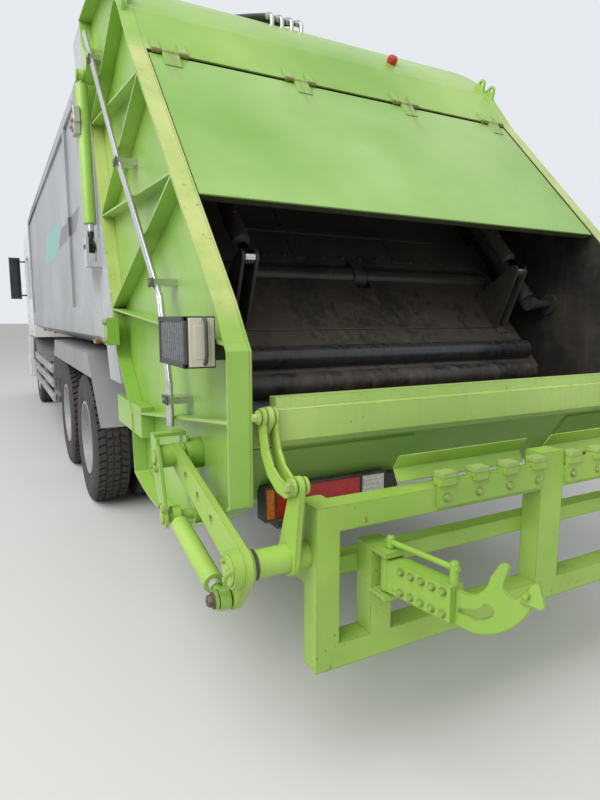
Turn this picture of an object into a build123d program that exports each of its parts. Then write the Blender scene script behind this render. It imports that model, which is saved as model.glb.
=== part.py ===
from build123d import *
import os
from math import cos, hypot, pi, radians, sin, tan

# Rear-loading garbage truck, three axles, all sizes in millimetres.
# X points forward, Y to the driver's left, Z up from the ground. The sizes are
# measured from a point half way from the bumper to the back of the lifter, and
# the saved parts stand a little further forward, so that the origin lies on the
# ground half way along the truck with its hook arms out.

# Driving dimensions of the whole truck
front_end = 5750          # front face of the bumper
middle_shift = 152        # from the sizes' zero to the origin of the saved parts
front_axle_x = 4350
wheelbase = 4950          # front axle to the first driven axle
tandem_spacing = 1400
body_half_width = 1250
body_roof_z = 3350
body_floor_z = 1300
body_front_x = 3000
sheet = 8                 # steel sheet of the tailgate
joint_gap = 6             # running gap beside moving parts
pin_play = 0.05           # radial clearance of a running pin
loose_play = 2            # radial clearance at the end of a linkage
rest_gap = 0.3            # between pieces that rest on each other

# Wheels
tyre_radius = 525
tyre_width = 275
tyre_round = 60           # shoulder radius
rim_radius = 298
rim_wall = 14
dual_pitch = 335          # between the two tyres of a dual wheel
dual_centre_y = 895
front_track_half = 1020
hub_radius = 140
spindle_radius = 45

# Frame rails
rail_outer_y = 430
rail_flange = 80
rail_height = 280
rail_web = 10
rail_top_z = 990
rail_rear_x = -3535
rail_front_x = 5560

# Parting plane between body and tailgate, seen from the side
parting_top = (-2740, 3390)
parting_bottom_z = 1290
parting_slope = 0.384     # run back for each step down
seal_gap = 12

# Tilting cab
cab_pivot = (5600, 900)
cab_pin_radius = 14
cab_low_z = 1180          # underside of its floor

# Tailgate
wall_inner_y = 1115
flange_outer_y = 1195
lip_rear_x = -5300
gate_hinge = (-2640, 3480)

# Packer inside the tailgate
slope_angle = 47.7        # of the rear cover and of the slide's rails
blade_pivot = (-4180, 1720)

# Lifter at the back, seen from the side
lever_pivot = (-4790, 980)
frame_pivot = (-5450, 790)
link_pin = (-5310, 1195)
crank_pin = (-5510, 1025)
lift_cylinder_pin = (-4880, 770)
lift_rod_pin = (-5375, 670)
lifter_rear_x = -5520
lifter_rail = 80
lifter_half_width = 1010

mid_axle_x = front_axle_x - wheelbase
rear_axle_x = mid_axle_x - tandem_spacing
axle_z = tyre_radius


def side_plate(points, near, far, mode=Mode.ADD):
    """A plate with the side outline points, from y = near to y = far."""
    with BuildSketch(Plane.XZ.offset(-far)) as outline:
        with BuildLine():
            Polyline(*points, close=True)
        make_face()
    extrude(outline.sketch, amount=far - near, mode=mode)


def side_plates(points, near, far, mode=Mode.ADD):
    """The same plate on the left and on the right side."""
    side_plate(points, near, far, mode)
    side_plate(points, -far, -near, mode)


def bent_sheet(points, thickness, near, far, side=Side.LEFT):
    """A folded sheet that follows points in side view."""
    with BuildSketch(Plane.XZ.offset(-far)) as outline:
        with BuildLine():
            Polyline(*points)
            offset(amount=thickness, side=side, kind=Kind.INTERSECTION)
        make_face()
    extrude(outline.sketch, amount=far - near)


def bar(x_span, y_span, z_span, mode=Mode.ADD):
    """A rectangular bar between two values on each axis."""
    centre = [(low + high) / 2 for low, high in (x_span, y_span, z_span)]
    sizes = [high - low for low, high in (x_span, y_span, z_span)]
    with Locations(tuple(centre)):
        Box(*sizes, mode=mode)


def bars(x_span, y_span, z_span, mode=Mode.ADD):
    """The same bar on the left and on the right side."""
    low, high = y_span
    bar(x_span, (low, high), z_span, mode)
    bar(x_span, (-high, -low), z_span, mode)


def pin(place, radius, near, far, mode=Mode.ADD):
    """A round pin along Y at a side-view place."""
    with BuildSketch(Plane.XZ.offset(-far)) as outline:
        with Locations(place):
            Circle(radius)
    extrude(outline.sketch, amount=far - near, mode=mode)


def pins(place, radius, near, far, mode=Mode.ADD):
    pin(place, radius, near, far, mode)
    pin(place, radius, -far, -near, mode)


def hull_plate(circles, near, far):
    """A plate round circles of (x, z, radius), from y = near to y = far."""
    with BuildSketch(Plane.XZ.offset(-far)) as outline:
        for x, z, radius in circles:
            with Locations((x, z)):
                Circle(radius)
        make_hull()
    extrude(outline.sketch, amount=far - near)


def hull_plates(circles, near, far):
    hull_plate(circles, near, far)
    hull_plate(circles, -far, -near)


def rod(start, end, radius, mode=Mode.ADD):
    """A straight round bar between two points in space."""
    direction = Vector(*end) - Vector(*start)
    with BuildSketch(Plane(origin=start, z_dir=direction)) as outline:
        Circle(radius)
    extrude(outline.sketch, amount=direction.length, mode=mode)


def along(start, end, distance):
    """The side-view point that lies distance from start towards end."""
    length = hypot(end[0] - start[0], end[1] - start[1])
    share = distance / length
    return (start[0] + (end[0] - start[0]) * share, start[1] + (end[1] - start[1]) * share)


def parting_x(z, clearance=0):
    """The parting plane's x at height z, moved forward by clearance."""
    return parting_top[0] - (parting_top[1] - z) * parting_slope + clearance


def slide_point(up, out):
    """A side-view point, up along the slide's rails and out towards the cover."""
    angle = radians(slope_angle)
    return (
        blade_pivot[0] + up * cos(angle) - out * sin(angle),
        blade_pivot[1] + up * sin(angle) + out * cos(angle),
    )


def arc_centre(first, second, third):
    """The centre of the circle through three side-view points."""
    ax, az = second[0] - first[0], second[1] - first[1]
    bx, bz = third[0] - first[0], third[1] - first[1]
    twice_area = 2 * (ax * bz - az * bx)
    long_a, long_b = ax * ax + az * az, bx * bx + bz * bz
    return (first[0] + (bz * long_a - az * long_b) / twice_area,
            first[1] + (ax * long_b - bx * long_a) / twice_area)


os.makedirs("parts", exist_ok=True)


def save(builder, label):
    """Writes a sub-part, moved so that the truck's middle lies over the origin."""
    moved = builder.part.moved(Location((middle_shift, 0, 0)))
    moved.label = label
    export_step(moved, f"parts/{label}.step")


# Chassis frame: two channel rails with cross members, and the longer
# bearers on top that carry the body.
bearer_outer_y = 425
bearer_width = 70
cross_member_x = (-3450, -2700, -1300, 100, 1400, 2600, 3560, 5250)
with BuildPart() as chassis_frame:
    bars((rail_rear_x, rail_front_x), (rail_outer_y - rail_flange, rail_outer_y),
         (rail_top_z - rail_height, rail_top_z))
    bars((rail_rear_x - 1, rail_front_x + 1),
         (rail_outer_y - rail_flange - 1, rail_outer_y - rail_web),
         (rail_top_z - rail_height + rail_web, rail_top_z - rail_web), Mode.SUBTRACT)
    for x in cross_member_x:
        bar((x - 40, x + 40), (-rail_outer_y + rail_web, rail_outer_y - rail_web),
            (rail_top_z - rail_height + rail_web + 30, rail_top_z - rail_web - 60))
    bars((rail_rear_x, body_front_x), (bearer_outer_y - bearer_width, bearer_outer_y),
         (rail_top_z, body_floor_z - rest_gap))
    rail_inner_y = rail_outer_y - rail_flange
    hull_plates([(cab_pivot[0], cab_pivot[1], 30), (rail_front_x - 40, cab_pivot[1] + 50, 30),
                 (rail_front_x - 40, cab_pivot[1] - 40, 30)], rail_inner_y, rail_inner_y + 25)
    pins(cab_pivot, cab_pin_radius + pin_play, rail_inner_y - 1, rail_inner_y + 26, Mode.SUBTRACT)
    bars((3670, 3740), (bearer_outer_y - bearer_width, bearer_outer_y), (rail_top_z, cab_low_z - rest_gap))
save(chassis_frame, "chassis_frame")

# Axles: a forged front beam with kingpins, two driven axles with their
# differential housings, and the leaf springs that tie them to the rails.
kingpin_y = 850
kingpin_radius = 24
beam_z = axle_z - 10
beam_end_y = kingpin_y + 45
spring_y = 395
spring_width = 75
drive_tube_radius = 70
drive_tube_end_y = 560
differential_radius = 200
shaft_radius = 45
with BuildPart() as axles:
    bar((front_axle_x - 45, front_axle_x + 45), (-kingpin_y, kingpin_y), (beam_z - 45, beam_z + 45))
    for side in (-1, 1):
        with Locations((front_axle_x, side * kingpin_y, beam_z)):
            Cylinder(beam_end_y - kingpin_y, 90)
            Cylinder(kingpin_radius, 250)
    for x in (mid_axle_x, rear_axle_x):
        pin((x, axle_z), drive_tube_radius, -drive_tube_end_y, drive_tube_end_y)
        pins((x, axle_z), shaft_radius, drive_tube_end_y, dual_centre_y + 190)
        with Locations((x, 0, axle_z)):
            Sphere(differential_radius)
    spring_top = rail_top_z - rail_height - rest_gap
    for side in (-1, 1):
        centre = side * spring_y
        side_plate([(front_axle_x - 700, spring_top - 20), (front_axle_x, beam_z + 40),
                    (front_axle_x + 700, spring_top - 20), (front_axle_x + 700, spring_top),
                    (front_axle_x, beam_z + 110), (front_axle_x - 700, spring_top)],
                   centre - spring_width / 2, centre + spring_width / 2)
        middle = (mid_axle_x + rear_axle_x) / 2
        side_plate([(rear_axle_x - 60, axle_z + 50), (middle, 600), (mid_axle_x + 60, axle_z + 50),
                    (mid_axle_x + 60, axle_z + 95), (middle + 120, spring_top), (middle - 120, spring_top),
                    (rear_axle_x - 60, axle_z + 95)],
                   centre - spring_width / 2, centre + spring_width / 2)
save(axles, "axles")

# Engine and gearbox, one plain block between the rails.
with BuildPart() as engine:
    engine_half_width = rail_outer_y - rail_flange - 20
    bar((3650, 4950), (-engine_half_width, engine_half_width), (rail_top_z - 200, 1150))
    for x in (3900, 4720):
        bars((x - 40, x + 40), (engine_half_width - 1, rail_outer_y - rail_web - rest_gap), (840, 900))
save(engine, "engine")

# Wheels: each body is a tyre or a pair of tyres on its rims, turning on
# the axle's spindle.


def tyre_ring(centre_y):
    with BuildSketch(Plane.XY) as section:
        with BuildLine():
            Polyline((rim_radius, -tyre_width / 2 + 25), (rim_radius + 60, -tyre_width / 2),
                     (tyre_radius - tyre_round, -tyre_width / 2),
                      (tyre_radius, -tyre_width / 2 + tyre_round * 0.7),
                     (tyre_radius, tyre_width / 2 - tyre_round * 0.7),
                      (tyre_radius - tyre_round, tyre_width / 2),
                     (rim_radius + 60, tyre_width / 2), (rim_radius, tyre_width / 2 - 25), close=True)
        make_face()
    with BuildPart(mode=Mode.PRIVATE) as ring:
        revolve(section.sketch, axis=Axis.Y)
    return ring.part.moved(Location((0, centre_y, 0)))


def wheel_tyres(axle_x, centres, label):
    with BuildPart() as tyres:
        for y in centres:
            add(tyre_ring(y).moved(Location((axle_x, 0, axle_z))))
    save(tyres, label)


dual_half = dual_pitch / 2
for side_name, side in (("left", 1), ("right", -1)):
    for axle_name, axle_x in (("middle", mid_axle_x), ("rear", rear_axle_x)):
        centres = [side * (dual_centre_y - dual_half), side * (dual_centre_y + dual_half)]
        wheel_tyres(axle_x, centres, f"{side_name}_{axle_name}_tyres")
        half_rim = tyre_width / 2 - 12
        with BuildPart() as rims:
            for y in centres:
                pin((axle_x, axle_z), rim_radius, y - half_rim, y + half_rim)
                pin((axle_x, axle_z), rim_radius - rim_wall, y - half_rim - 1, y + half_rim + 1, Mode.SUBTRACT)
            for edge in (-1, 1):
                y = side * dual_centre_y + edge * (dual_half - half_rim + 6)
                pin((axle_x, axle_z), rim_radius - 1, y - 6, y + 6)
            pin((axle_x, axle_z), hub_radius + 60, side * dual_centre_y - dual_half + half_rim,
                side * dual_centre_y + dual_half - half_rim)
            near, far = sorted((side * (drive_tube_end_y + 30), side * (dual_centre_y + 200)))
            pin((axle_x, axle_z), hub_radius, near, far)
            near, far = sorted((side * (drive_tube_end_y + 29), side * (dual_centre_y + 190.3)))
            pin((axle_x, axle_z), shaft_radius + pin_play, near, far, Mode.SUBTRACT)
        save(rims, f"{side_name}_{axle_name}_rims")
    centre_y = side * front_track_half
    wheel_tyres(front_axle_x, [centre_y], f"{side_name}_front_tyre")
    with BuildPart() as rim:
        half_rim = tyre_width / 2 - 12
        pin((front_axle_x, axle_z), rim_radius, centre_y - half_rim, centre_y + half_rim)
        pin((front_axle_x, axle_z), rim_radius - rim_wall, centre_y - half_rim - 1, centre_y + half_rim + 1,
            Mode.SUBTRACT)
        disc = centre_y + side * 60
        pin((front_axle_x, axle_z), rim_radius, disc - 6, disc + 6)
        near, far = sorted((side * (front_track_half - 20), side * (front_track_half + 110)))
        pin((front_axle_x, axle_z), hub_radius, near, far)
        near, far = sorted((side * (front_track_half - 21), side * (front_track_half + 90.3)))
        pin((front_axle_x, axle_z), spindle_radius + pin_play, near, far, Mode.SUBTRACT)
    save(rim, f"{side_name}_front_rim")

    # Steering knuckle: a yoke on the kingpin with the wheel's spindle.
    with BuildPart() as knuckle:
        near, far = sorted((side * (kingpin_y - 60), side * (kingpin_y + 95)))
        bar((front_axle_x - 60, front_axle_x + 60), (near, far), (beam_z - 115, beam_z + 115))
        near, far = sorted((side * (kingpin_y - 61), side * (beam_end_y + 14)))
        bar((front_axle_x - 61, front_axle_x + 61), (near, far), (beam_z - 58, beam_z + 58), Mode.SUBTRACT)
        with Locations((front_axle_x, side * kingpin_y, beam_z)):
            Cylinder(kingpin_radius + pin_play, 232, mode=Mode.SUBTRACT)
        near, far = sorted((side * (kingpin_y + 94), side * (front_track_half + 90)))
        pin((front_axle_x, axle_z), spindle_radius, near, far)
    save(knuckle, f"{side_name}_knuckle")

# Tanks and boxes on the frame's sides, each on two plates bolted to the rail.
# Columns: side, rear x, front x, low z, high z
tank_table = (
    (1, 700, 1500, 520, 960),
    (1, 2300, 3000, 520, 900),
    (-1, 600, 1750, 480, 980),
    (-1, 2300, 2900, 520, 900),
)
tank_inner_y = 560
tank_outer_y = 1120
with BuildPart() as side_tanks:
    for side, x_rear, x_front, z_low, z_high in tank_table:
        with BuildPart(mode=Mode.PRIVATE) as tank:
            bar((x_rear, x_front), (tank_inner_y, tank_outer_y), (z_low, z_high))
            fillet(tank.part.edges().filter_by(Axis.X), 60)
            for x in (x_rear + 120, x_front - 120):
                bar((x - 20, x + 20), (rail_outer_y, tank_inner_y + 10), (z_high - 160, z_high - 60))
        add(tank.part if side > 0 else mirror(tank.part, about=Plane.XZ, mode=Mode.PRIVATE))
save(side_tanks, "side_tanks")

# Side guards: three rails on posts along the open side between the axles.
guard_x = (380, 3480)
guard_outer_y = 1235
guard_post_x = (460, 1950, 3400)
with BuildPart() as side_guards:
    for z in (560, 730, 900):
        bars(guard_x, (guard_outer_y - 25, guard_outer_y), (z - 45, z + 45))
    for x in guard_post_x:
        bars((x - 30, x + 30), (guard_outer_y - 65, guard_outer_y - 24), (500, 960))
        bars((x - 30, x + 30), (rail_outer_y, guard_outer_y - 40), (890, 950))
save(side_guards, "side_guards")

# Rear mudguards: folded sheet over the tandem with a valance along its outer
# edge, on three arms at each side.
guard_top_z = 1262
mud_inner_y = 570
mud_outer_y = 1225
mud_sheet = 6
guard_flat = (rear_axle_x - 540, mid_axle_x + 540)
rear_guard = ((guard_flat[0] - 480, 780), (guard_flat[0], guard_top_z), (guard_flat[1], guard_top_z),
              (guard_flat[1] + 480, 780))
with BuildPart() as rear_mudguards:
    for near, far in ((mud_inner_y, mud_outer_y), (-mud_outer_y, -mud_inner_y)):
        bent_sheet(rear_guard, mud_sheet, near, far, Side.RIGHT)
    valance = (guard_flat[0] - 10, guard_flat[1] + 10)
    side_plates([(valance[0] - 170, guard_top_z - 180), (valance[0], guard_top_z - 10),
                 (valance[1], guard_top_z - 10), (valance[1] + 170, guard_top_z - 180)],
                mud_outer_y - mud_sheet, mud_outer_y)
    for x in (guard_flat[0] + 140, (mid_axle_x + rear_axle_x) / 2, guard_flat[1] - 140):
        bars((x - 25, x + 25), (bearer_outer_y + rest_gap, mud_inner_y + 40),
             (guard_top_z - 40 - mud_sheet, guard_top_z - mud_sheet))
save(rear_mudguards, "rear_mudguards")

# Front mudguards: an arch of sheet round the top of each steered wheel, on two
# arms from the frame.
front_guard_radius = 632
front_guard_inner_y = 860
front_guard_outer_y = 1180
with BuildPart() as front_mudguards:
    for near in (front_guard_inner_y, -front_guard_outer_y):
        with BuildSketch(Plane.XZ.offset(-near)) as arch:
            with Locations((front_axle_x, axle_z)):
                Circle(front_guard_radius + mud_sheet)
                Circle(front_guard_radius, mode=Mode.SUBTRACT)
            with Locations((front_axle_x, axle_z - 400)):
                Rectangle(2000, 1200, mode=Mode.SUBTRACT)
        extrude(arch.sketch, amount=front_guard_inner_y - front_guard_outer_y)
    for x in (front_axle_x - 580, front_axle_x + 580):
        bars((x - 15, x + 15), (rail_outer_y + rest_gap, front_guard_inner_y + 40), (755, 785))
save(front_mudguards, "front_mudguards")

# Compactor body: a hollow steel box, its roof corners rounded, open at the
# rear, with a recessed side panel between ledge, roof rail and corner posts.
body_wall = 50
panel_inset = 18
roof_corner = 400
ledge_low_z = 1390
ledge_high_z = 1580
panel_top_z = 2900
post_depth = 330          # of the slanted rear frame, along X
lower_half_width = 1060


def body_section(half_width, roof_z, floor_z, corner, low_half):
    with BuildSketch(Plane.YZ.offset(0)) as section:
        with BuildLine():
            Polyline((-half_width, ledge_low_z), (-low_half, floor_z), (low_half, floor_z),
                     (half_width, ledge_low_z), (half_width, roof_z - corner))
            ThreePointArc((half_width, roof_z - corner),
                          (half_width - corner * (1 - cos(radians(45))), roof_z - corner * (1 - sin(radians(45)))),
                          (half_width - corner, roof_z))
            Line((half_width - corner, roof_z), (-half_width + corner, roof_z))
            ThreePointArc((-half_width + corner, roof_z),
                          (-half_width + corner * (1 - cos(radians(45))), roof_z - corner * (1 - sin(radians(45)))),
                          (-half_width, roof_z - corner))
            Line((-half_width, roof_z - corner), (-half_width, ledge_low_z))
        make_face()
    return section.sketch


shell_rear_x = parting_x(body_floor_z - 200) - 100
rear_frame_front = [(parting_x(z, seal_gap + post_depth), z) for z in (body_floor_z - 400, body_roof_z + 400)]
with BuildPart() as body_shell:
    outer = body_section(body_half_width - panel_inset, body_roof_z, body_floor_z, roof_corner, lower_half_width)
    extrude(outer.moved(Location((shell_rear_x, 0, 0))), amount=body_front_x - shell_rear_x)
    bars((shell_rear_x, body_front_x), (body_half_width - panel_inset - 20, body_half_width),
         (ledge_low_z, ledge_high_z))
    bars((shell_rear_x, body_front_x), (body_half_width - panel_inset - 20, body_half_width),
         (panel_top_z, panel_top_z + 50))
    bars((body_front_x - 160, body_front_x), (body_half_width - panel_inset - 20, body_half_width),
         (ledge_high_z, panel_top_z))
    bars((-2100, -2000), (body_half_width - panel_inset - 20, body_half_width), (ledge_high_z, panel_top_z))
    inner = body_section(body_half_width - panel_inset - body_wall, body_roof_z - body_wall,
                         body_floor_z + 10, roof_corner - body_wall, lower_half_width - body_wall)
    extrude(inner.moved(Location((shell_rear_x - 1, 0, 0))),
            amount=body_front_x - body_wall - shell_rear_x + 1, mode=Mode.SUBTRACT)
    side_plate([rear_frame_front[0], rear_frame_front[1], (shell_rear_x - 900, body_roof_z + 400),
                (shell_rear_x - 900, body_floor_z - 400)], -1400, 1400, Mode.SUBTRACT)
save(body_shell, "body_shell")

# Slanted rear frame of the body: two posts, a sill and a head that carry the
# tailgate's hinges, and the brackets of its lift cylinders.
frame_low_z = 1130
frame_high_z = 3370
frame_opening = (1310, 3250)
hinge_y = 720
hinge_half = 30
hinge_pin_radius = 28
post_outer_y = 1190
gate_cylinder_y = 1240
gate_lug = (-3020, 2950)         # barrel's pin on the tailgate
gate_eye_low = (-3120, 1930)     # rod's eye on the body
gate_eye_half = 16
gate_eye_radius = 36
gate_pin_radius = 20
lug_gap = 8
with BuildPart() as body_rear_frame:
    side_plate([(parting_x(frame_low_z, seal_gap), frame_low_z),
                (parting_x(frame_high_z, seal_gap), frame_high_z),
                (parting_x(frame_high_z, seal_gap + post_depth), frame_high_z),
                (parting_x(frame_low_z, seal_gap + post_depth), frame_low_z)],
               -post_outer_y, post_outer_y)
    side_plate([(parting_x(frame_opening[0]) - 400, frame_opening[0]),
                (parting_x(frame_opening[1]) - 400, frame_opening[1]),
                (parting_x(frame_opening[1]) + 900, frame_opening[1]),
                (parting_x(frame_opening[0]) + 900, frame_opening[0])],
               -wall_inner_y, wall_inner_y, Mode.SUBTRACT)
    bars((parting_x(frame_low_z) - 10, parting_x(frame_low_z) + 1000), (rail_outer_y - 90, rail_outer_y + 10),
         (frame_low_z - 10, body_floor_z), Mode.SUBTRACT)
    for side in (-1, 1):
        for inner, outer_y in ((hinge_half + joint_gap, hinge_half + joint_gap + 25),
                               (-hinge_half - joint_gap - 25, -hinge_half - joint_gap)):
            near, far = side * hinge_y + inner, side * hinge_y + outer_y
            hull_plate([(gate_hinge[0], gate_hinge[1], 55), (gate_hinge[0] + 10, frame_high_z - 20, 60),
                        (gate_hinge[0] + 150, frame_high_z - 20, 18)], near, far)
        pin(gate_hinge, hinge_pin_radius, side * hinge_y - hinge_half - 60, side * hinge_y + hinge_half + 60)
    eye_x, eye_z = gate_eye_low
    inner_lug = gate_cylinder_y - gate_eye_half - lug_gap
    outer_lug = gate_cylinder_y + gate_eye_half + lug_gap
    bars((eye_x - 50, eye_x + 50), (post_outer_y - 1, inner_lug), (eye_z - 120, eye_z + 55))
    bars((eye_x - 50, eye_x + 50), (outer_lug, outer_lug + 14), (eye_z - 120, eye_z + 55))
    bars((eye_x - 50, eye_x + 50), (post_outer_y - 1, outer_lug + 14), (eye_z - 120, eye_z - 90))
save(body_rear_frame, "body_rear_frame")

# Front bumper with its steps and lamp boxes, fixed to the rails' ends.
bumper_low_z = 350
bumper_high_z = 795
bumper_half_width = 1235
step_x = (5000, 5600)
tow_socket_y = -480
tow_socket_radius = 18
tow_socket_depth = 80
with BuildPart() as front_bumper:
    bar((rail_front_x, front_end), (-bumper_half_width, bumper_half_width), (bumper_low_z, bumper_high_z))
    fillet(front_bumper.part.edges().filter_by(Axis.Z).group_by(Axis.X)[-1], 90)
    bars(step_x, (900, bumper_half_width - 10), (bumper_low_z + 50, 1150))
    for z in (500, 830):
        bars((step_x[0] + 60, step_x[1] - 60), (1100, bumper_half_width), (z, z + 200), Mode.SUBTRACT)
    bars((front_end - 60, front_end + 1), (700, 1080), (560, 720), Mode.SUBTRACT)
    bars((front_end - 80, front_end - 14), (695, 1085), (555, 725))
    rod((front_end - tow_socket_depth, tow_socket_y, 570), (front_end + 1, tow_socket_y, 570), tow_socket_radius,
        Mode.SUBTRACT)
    bars((rail_front_x - 60, rail_front_x + 1), (rail_outer_y, rail_outer_y + 14), (730, 990))
save(front_bumper, "front_bumper")

# Cab: hollow steel shell, tilting forward on two lugs under its nose.
cab_rear_x = 3650
cab_front_x = 5700
cab_half_width = 1200
cab_nose_low_z = 880
cab_roof_z = 2950
cab_wall = 60
cab_lug_y = 300
door_x = (4380, 5340)
door_z = (1246, 2700)
door_hinge = (5346, 1210)
door_hinge_z = (1480, 2420)
door_knuckle_radius = 9
door_pin_radius = 4
screen_low_z = 1960
screen_high_z = 2600
screen_half_width = 1050
cab_outline = [(cab_rear_x, cab_low_z), (cab_rear_x, cab_roof_z - 60), (cab_rear_x + 70, cab_roof_z),
               (cab_front_x - 250, cab_roof_z), (cab_front_x - 60, 2650), (cab_front_x, 1900),
               (cab_front_x, cab_nose_low_z), (cab_front_x - cab_wall, cab_nose_low_z),
               (cab_front_x - cab_wall, cab_low_z)]
cab_hollow = [(cab_rear_x + cab_wall, cab_low_z + cab_wall), (cab_rear_x + cab_wall, cab_roof_z - cab_wall - 20),
              (cab_rear_x + 90, cab_roof_z - cab_wall), (cab_front_x - 285, cab_roof_z - cab_wall),
              (cab_front_x - 60 - cab_wall, 2640), (cab_front_x - cab_wall, 1900),
              (cab_front_x - cab_wall, cab_low_z + cab_wall)]


def screen_x(z, inset):
    """The windscreen's slanted face at height z, inset from the outside."""
    return cab_front_x - 60 * (z - 1900) / 750 - inset


with BuildPart() as cab_shell:
    side_plate(cab_outline, -cab_half_width, cab_half_width)
    side_plate(cab_hollow, -cab_half_width + cab_wall, cab_half_width - cab_wall, Mode.SUBTRACT)
    bars((door_x[0] - joint_gap, door_x[1] + joint_gap), (cab_half_width - cab_wall - 1, cab_half_width + 1),
         (door_z[0] - joint_gap, door_z[1] + joint_gap), Mode.SUBTRACT)
    bar((cab_front_x - 200, cab_front_x + 1), (-screen_half_width, screen_half_width),
        (screen_low_z, screen_high_z), Mode.SUBTRACT)
    bar((cab_rear_x - 1, cab_rear_x + cab_wall + 1), (-500, 500), (2150, 2550), Mode.SUBTRACT)
    hull_plates([(cab_pivot[0], cab_pivot[1], 26), (cab_front_x - 40, cab_pivot[1] + 60, 26),
                 (cab_front_x - 40, cab_pivot[1] + 160, 26)], cab_lug_y - 15, cab_lug_y + 15)
    pins(cab_pivot, cab_pin_radius, cab_lug_y - 16, rail_outer_y - rail_flange + 27)
    hinge_x, hinge_side_y = door_hinge
    for side in (-1, 1):
        near, far = sorted((side * (cab_half_width - 1), side * (hinge_side_y - 2)))
        for z in door_hinge_z:
            for step in (-1, 1):
                middle = z + step * 40
                with Locations((hinge_x, side * hinge_side_y, middle)):
                    Cylinder(door_knuckle_radius, 36)
                bar((hinge_x, hinge_x + 55), (near, far), (middle - 18, middle + 18))
            with Locations((hinge_x, side * hinge_side_y, z)):
                Cylinder(door_pin_radius, 60)
save(cab_shell, "cab_shell")

# Windscreen and rear window, set in the cab's openings.
with BuildPart() as cab_glass:
    side_plate([(screen_x(screen_low_z, 20), screen_low_z), (screen_x(screen_high_z, 20), screen_high_z),
                (screen_x(screen_high_z, 28), screen_high_z), (screen_x(screen_low_z, 28), screen_low_z)],
               -screen_half_width, screen_half_width)
    bar((cab_rear_x + 25, cab_rear_x + 31), (-500, 500), (2150, 2550))
save(cab_glass, "cab_glass")

# Cab interior: dashboard and steering wheel, two seats, a bunk.
with BuildPart() as cab_interior:
    bar((5380, cab_front_x - cab_wall - rest_gap), (-1100, 1100), (1620, 1860))
    rod((5400, 600, 1800), (5190, 600, 1960), 25)
    with Locations(Plane(origin=(5190, 600, 1960), z_dir=(-0.8, 0, 0.6))):
        Torus(210, 16)
        Box(30, 420, 20)
    for side in (-1, 1):
        seat_y = (350, 860) if side > 0 else (-860, -350)
        bar((4560, 4960), (seat_y[0] + 80, seat_y[1] - 80), (cab_low_z + cab_wall, 1560))
        bar((4500, 5020), seat_y, (1550, 1690))
        side_plate([(4500, 1600), (4600, 1600), (4480, 2360), (4390, 2360)], *seat_y)
    bar((cab_rear_x + cab_wall + rest_gap, 4250), (-1130, 1130), (cab_low_z + cab_wall, 1700))
save(cab_interior, "cab_interior")

# Mirrors on tube arms at the cab's front corners.
mirror_x = 5470
with BuildPart() as cab_mirrors:
    for side in (-1, 1):
        for z in (1930, 2560):
            rod((mirror_x, side * (cab_half_width + rest_gap), z), (mirror_x, side * 1380, z), 14)
        near, far = sorted((side * 1290, side * 1480))
        bar((mirror_x - 30, mirror_x + 30), (near, far), (1860, 2630))
save(cab_mirrors, "cab_mirrors")

# Doors: each a whole door's thickness with its window cut and glazed.
window_x = (4500, 5230)
window_z = (1850, 2590)
for side_name, side in (("left", 1), ("right", -1)):
    near, far = sorted((side * (cab_half_width - cab_wall), side * cab_half_width))
    with BuildPart() as door:
        bar(door_x, (near, far), door_z)
        bar(window_x, (near - 1, far + 1), window_z, Mode.SUBTRACT)
        bar((window_x[0] - 40, window_x[0] + 60), (near - 1, far + 1), (1500, 1560))
        hinge_x, hinge_side_y = door_hinge
        leaf_near, leaf_far = sorted((side * (cab_half_width - 1), side * (hinge_side_y - 2)))
        for z in door_hinge_z:
            with Locations((hinge_x, side * hinge_side_y, z)):
                Cylinder(door_knuckle_radius, 36)
            bar((hinge_x - 55, hinge_x - 3), (leaf_near, leaf_far), (z - 18, z + 18))
            with Locations((hinge_x, side * hinge_side_y, z)):
                Cylinder(door_pin_radius + pin_play, 40, mode=Mode.SUBTRACT)
    save(door, f"{side_name}_door")
    middle = (near + far) / 2
    with BuildPart() as pane:
        bar(window_x, (middle - 3, middle + 3), window_z)
    save(pane, f"{side_name}_door_glass")

# Tailgate shell: two side sheets, the roof sheet and the guide rails of the
# packer's slide.
gate_bottom_rear = (-5300, 910)
gate_bottom_middle = (-4595, 655)
gate_bottom_front = (-3890, 690)
gate_knee = (-5300, 1400)
gate_break = (-5180, 1556)
cover_hinge_line = (-4140, 2700)
roof_start = (-3960, 2940)
roof_middle = (-3540, 3245)
roof_end = (-3060, 3370)
ramp_foot = (-3872, 1000)
gate_rear_points = (gate_bottom_rear, gate_knee, gate_break, cover_hinge_line, roof_start)
rail_span = (-60, 1690)           # guide rails, along the slide


def gate_outline(plane):
    with BuildSketch(plane) as outline:
        with BuildLine():
            Polyline(*gate_rear_points)
            ThreePointArc(roof_start, roof_middle, roof_end)
            Polyline(roof_end, parting_top, (parting_x(parting_bottom_z), parting_bottom_z), ramp_foot,
                     gate_bottom_front)
            ThreePointArc(gate_bottom_front, gate_bottom_middle, gate_bottom_rear)
        make_face()
    return outline.sketch


def slide_block(up, out, near, far):
    """A plate with corners given along and square to the slide."""
    side_plate([slide_point(up[0], out[0]), slide_point(up[1], out[0]), slide_point(up[1], out[1]),
                slide_point(up[0], out[1])], near, far)


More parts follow.
